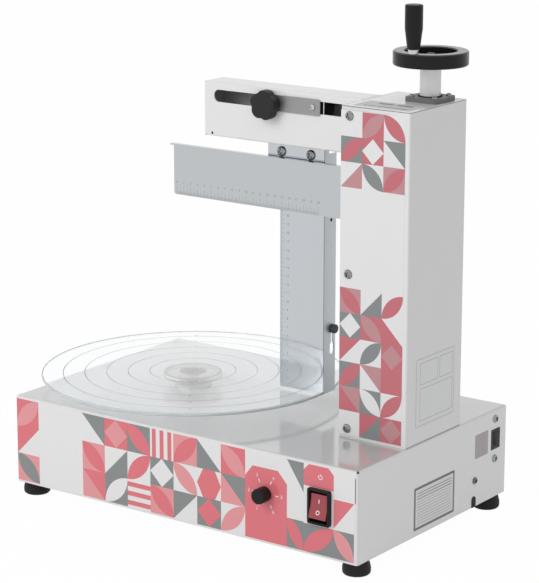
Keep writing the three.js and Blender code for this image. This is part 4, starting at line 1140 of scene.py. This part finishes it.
# Label with plain rules on the column top, and the joint of the head plate on two sides
LABEL_FILM = (0, 0.12)
LABEL_LINES = (0.12, 0.15)
TOP_LABEL = (172, 243, -52, -17, 0.8)
TOP_MARKS = (
    (181, 196, -45.5, -42.5), (198, 236, -45.5, -42.5),
    (190, 208, -30, -23.5), (213, 233, -30, -23.5),
)
MARK_CORNER = 0.6
HEAD_GAP = 0.6
HEAD_LIP = 0.4
JOINT_START = 1
JOINT_END = 0.5
FRONT_LAYER = (0, 0.16)
SIDE_LAYER = (0, 0.05)
column_top = moved(0, 0, column_high.z)
column_side = on_right(column_high.x)
top_marks = [([rounded(*mark, MARK_CORNER)], *LABEL_LINES) for mark in TOP_MARKS]
painted("top_plate", [([rounded(*TOP_LABEL)], *LABEL_FILM)], column_top, label_grey)
painted("top_plate_marks", top_marks, column_top, plate_border)
gap_high = column_high.z / MM - HEAD_LIP
gap_low = gap_high - HEAD_GAP
front_gap = rect(column_low.x / MM + JOINT_START, column_high.x / MM - JOINT_END, gap_low, gap_high)
side_gap = rect(column_low.y / MM + JOINT_END, column_high.y / MM - JOINT_START, gap_low, gap_high)
painted("head_joint_front", [([front_gap], *FRONT_LAYER)], on_front(column_low.y), plate_border)
painted("head_joint_right", [([side_gap], *SIDE_LAYER)], column_side, plate_border)

# Bead where the arm's top meets the column's
ARM_BEAD = 4.0
BEAD_TIP = 0.02
BEAD_ANGLE = 20
bead_u = arm_high.x / MM
bead_v = column_high.z / MM
bead_and_highlight_plan = [(bead_u, bead_v), (bead_u + ARM_BEAD, bead_v + BEAD_TIP), (bead_u, arm_high.z / MM - BEAD_TIP)]
bead_sheet = ([bead_and_highlight_plan], 0, (arm_high.y - arm_low.y) / MM)
flat_piece("arm_bead", [bead_sheet], on_front(arm_high.y), white_paint, "stand", BEAD_ANGLE)

# Blank label with thin frames on the column's right side, and the open joint under that side
LABEL = (-39, 39.5, 139.8, 217.3, 1)
LABEL_FRAMES = (
    (-38.4, 38.9, 140.4, 216.7), (-30.5, 5.5, 187, 211.5), (9, 35.5, 187, 211.5),
    (-30.5, 35.5, 146, 182.5),
)
LINE_WIDTH = 0.6
JOINT_HEIGHT = 1.4
JOINT_RISE = 0.05
label_lines = [([rect(*sides), widened(sides, -LINE_WIDTH)], *LABEL_LINES) for sides in LABEL_FRAMES]
foot_gap = rect(
    column_low.y / MM + JOINT_START, column_high.y / MM - JOINT_END,
    base_top + JOINT_RISE, base_top + JOINT_HEIGHT,
)
painted("side_label", [([rounded(*LABEL)], *LABEL_FILM)], column_side, label_film)
painted("side_label_lines", label_lines, column_side, label_line)
painted("column_joint", [([foot_gap], *SIDE_LAYER)], column_side, label_line)

# Open seam and relief eyelet at the front right corner of the base, and a rivet on the arm
SEAM_LEFT = 3.6
SEAM_RIGHT = 2.8
SEAM_BOTTOM = 69
SEAM_TOP = 97
SEAM_LAYER = (0, 0.06)
EYELET = [(0, -0.6), (1.4, -0.6), (1.4, 0.2), (1.1, 0.35), (0.6, 0.1), (0, 0.05)]
EYELET_INSET = 1.2 * MM
RIVET_SIDE = 10.5 * MM
RIVET_RISE = 3.6 * MM
ARM_EYELET_SIDE = 0.5 * MM
ARM_EYELET_INSET = 1.0 * MM
ARM_EYELET_SCALE = 0.7
corner_u = (base_high.x - base_low.x) / MM
seam_plan = rect(corner_u - SEAM_LEFT, corner_u - SEAM_RIGHT, SEAM_BOTTOM, SEAM_TOP)
painted("corner_seam", [([seam_plan], *SEAM_LAYER)], base_face, dark_gap)


# A place in a corner that looks out along a direction
def corner_place(x, y, z, direction):
    return moved(x, y, z) @ Vector(direction).to_track_quat("Z", "Y").to_matrix().to_4x4()


base_corner = corner_place(
    base_high.x - EYELET_INSET, base_low.y + EYELET_INSET, base_high.z - EYELET_INSET, (1, -1, 1),
)
arm_rivet = moved(arm_low.x + RIVET_SIDE, arm_low.y, arm_low.z + RIVET_RISE) @ on_front(0)
dark_plug("corner_eyelet", EYELET, base_corner, "stand")
dark_plug("arm_rivet", EYELET, arm_rivet, "stand")
for name, height, up in (("arm_eyelet_upper", arm_high.z, 1), ("arm_eyelet_lower", arm_low.z, -1)):
    z = height - up * ARM_EYELET_INSET
    arm_corner = corner_place(arm_low.x + ARM_EYELET_SIDE, arm_low.y + ARM_EYELET_INSET, z, (-1, -1, up))
    place = arm_corner @ Matrix.Scale(ARM_EYELET_SCALE, 4)
    dark_plug(name, EYELET, place, "stand")

# Dark end plate of the slider block with a painted highlight, a pale strip along its front edge, seen in the
# arm's slot
END_LENGTH = 4.2
SLIDER_HIGHLIGHT = 0.9
HIGHLIGHT_PROUD = 0.2
HIGHLIGHT_CORNER = 0.4
block_low, block_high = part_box("slider_block")
end_plan = rect(block_low.y / MM, block_high.y / MM, block_low.z / MM, block_high.z / MM)
end_right = block_high.x / MM + END_LENGTH
bead_and_highlight_plan = rounded(end_right - SLIDER_HIGHLIGHT, end_right, block_low.z / MM, block_high.z / MM, HIGHLIGHT_CORNER)
end_place = on_right(block_high.x)
flat_piece("slider_end", [([end_plan], 0, END_LENGTH)], end_place, dark_plastic, "slider")
highlight_place = on_front(block_low.y)
flat_piece("slider_highlight", [([bead_and_highlight_plan], 0, HIGHLIGHT_PROUD)], highlight_place, white_mark, "slider")

# Floor, world and lamps
WHITE = (1, 1, 1, 1)


# One where the camera, a mirror-like surface or clear glass looks, else zero
def looked_at(tree):
    path = add_node(tree, "LightPath")
    total = path.outputs["Is Camera Ray"]
    for name in ("Is Glossy Ray", "Is Transmission Ray"):
        larger = add_node(tree, "Math")
        larger.operation = "MAXIMUM"
        tree.links.new(total, larger.inputs[0])
        join(path, name, larger, 1)
        total = larger.outputs[0]
    return total


FLOOR_SIZE = 30.0
FLOOR_DROP = 0.0002
FLOOR_GLOW = 0.98
FLOOR_ROUGHNESS = 0.9
floor_data = bpy.data.meshes.new("floor")
half = FLOOR_SIZE / 2
floor_data.from_pydata([(u, v, 0) for u, v in rect(-half, half, -half, half)], [], [(0, 1, 2, 3)])
floor = linked("floor", floor_data)
floor.location = (0, 0, -FLOOR_DROP)
floor_look = bpy.data.materials.new("floor")
floor_look.use_nodes = True
tree = floor_look.node_tree
set_inputs(shader_of(tree), {"Base Color": srgb(245, 245, 245), "Roughness": FLOOR_ROUGHNESS})
glow = add_node(tree, "Emission", {"Color": WHITE})
share = add_node(tree, "Math", {1: FLOOR_GLOW})
share.operation = "MULTIPLY"
tree.links.new(looked_at(tree), share.inputs[0])
mix_shader(tree, share.outputs[0], glow.outputs["Emission"])
floor_data.materials.append(floor_look)

WORLD_LIGHT = 0.565
world = bpy.data.worlds.new("studio")
scene.world = world
world.use_nodes = True
tree = world.node_tree
background = tree.nodes["Background"]
set_inputs(background, {"Color": WHITE})
level = add_node(tree, "MapRange", {"To Min": WORLD_LIGHT, "To Max": 1.0})
tree.links.new(looked_at(tree), level.inputs["Value"])
join(level, "Result", background, "Strength")


def lamp(name, place, aim, size, power):
    data = bpy.data.lights.new(name, "AREA")
    data.shape = "SQUARE"
    data.size = size
    data.energy = power
    made = linked(name, data)
    made.visible_glossy = False
    made.location = place
    made.rotation_euler = (Vector(aim) - Vector(place)).to_track_quat("-Z", "Y").to_euler()


lamp("key", place=(-0.9, -3.0, 2.0), aim=(0, 0, 0.25), size=2.2, power=48)
lamp("top", place=(0.2, 0.6, 3.2), aim=(0, 0, 0.2), size=2.5, power=5)
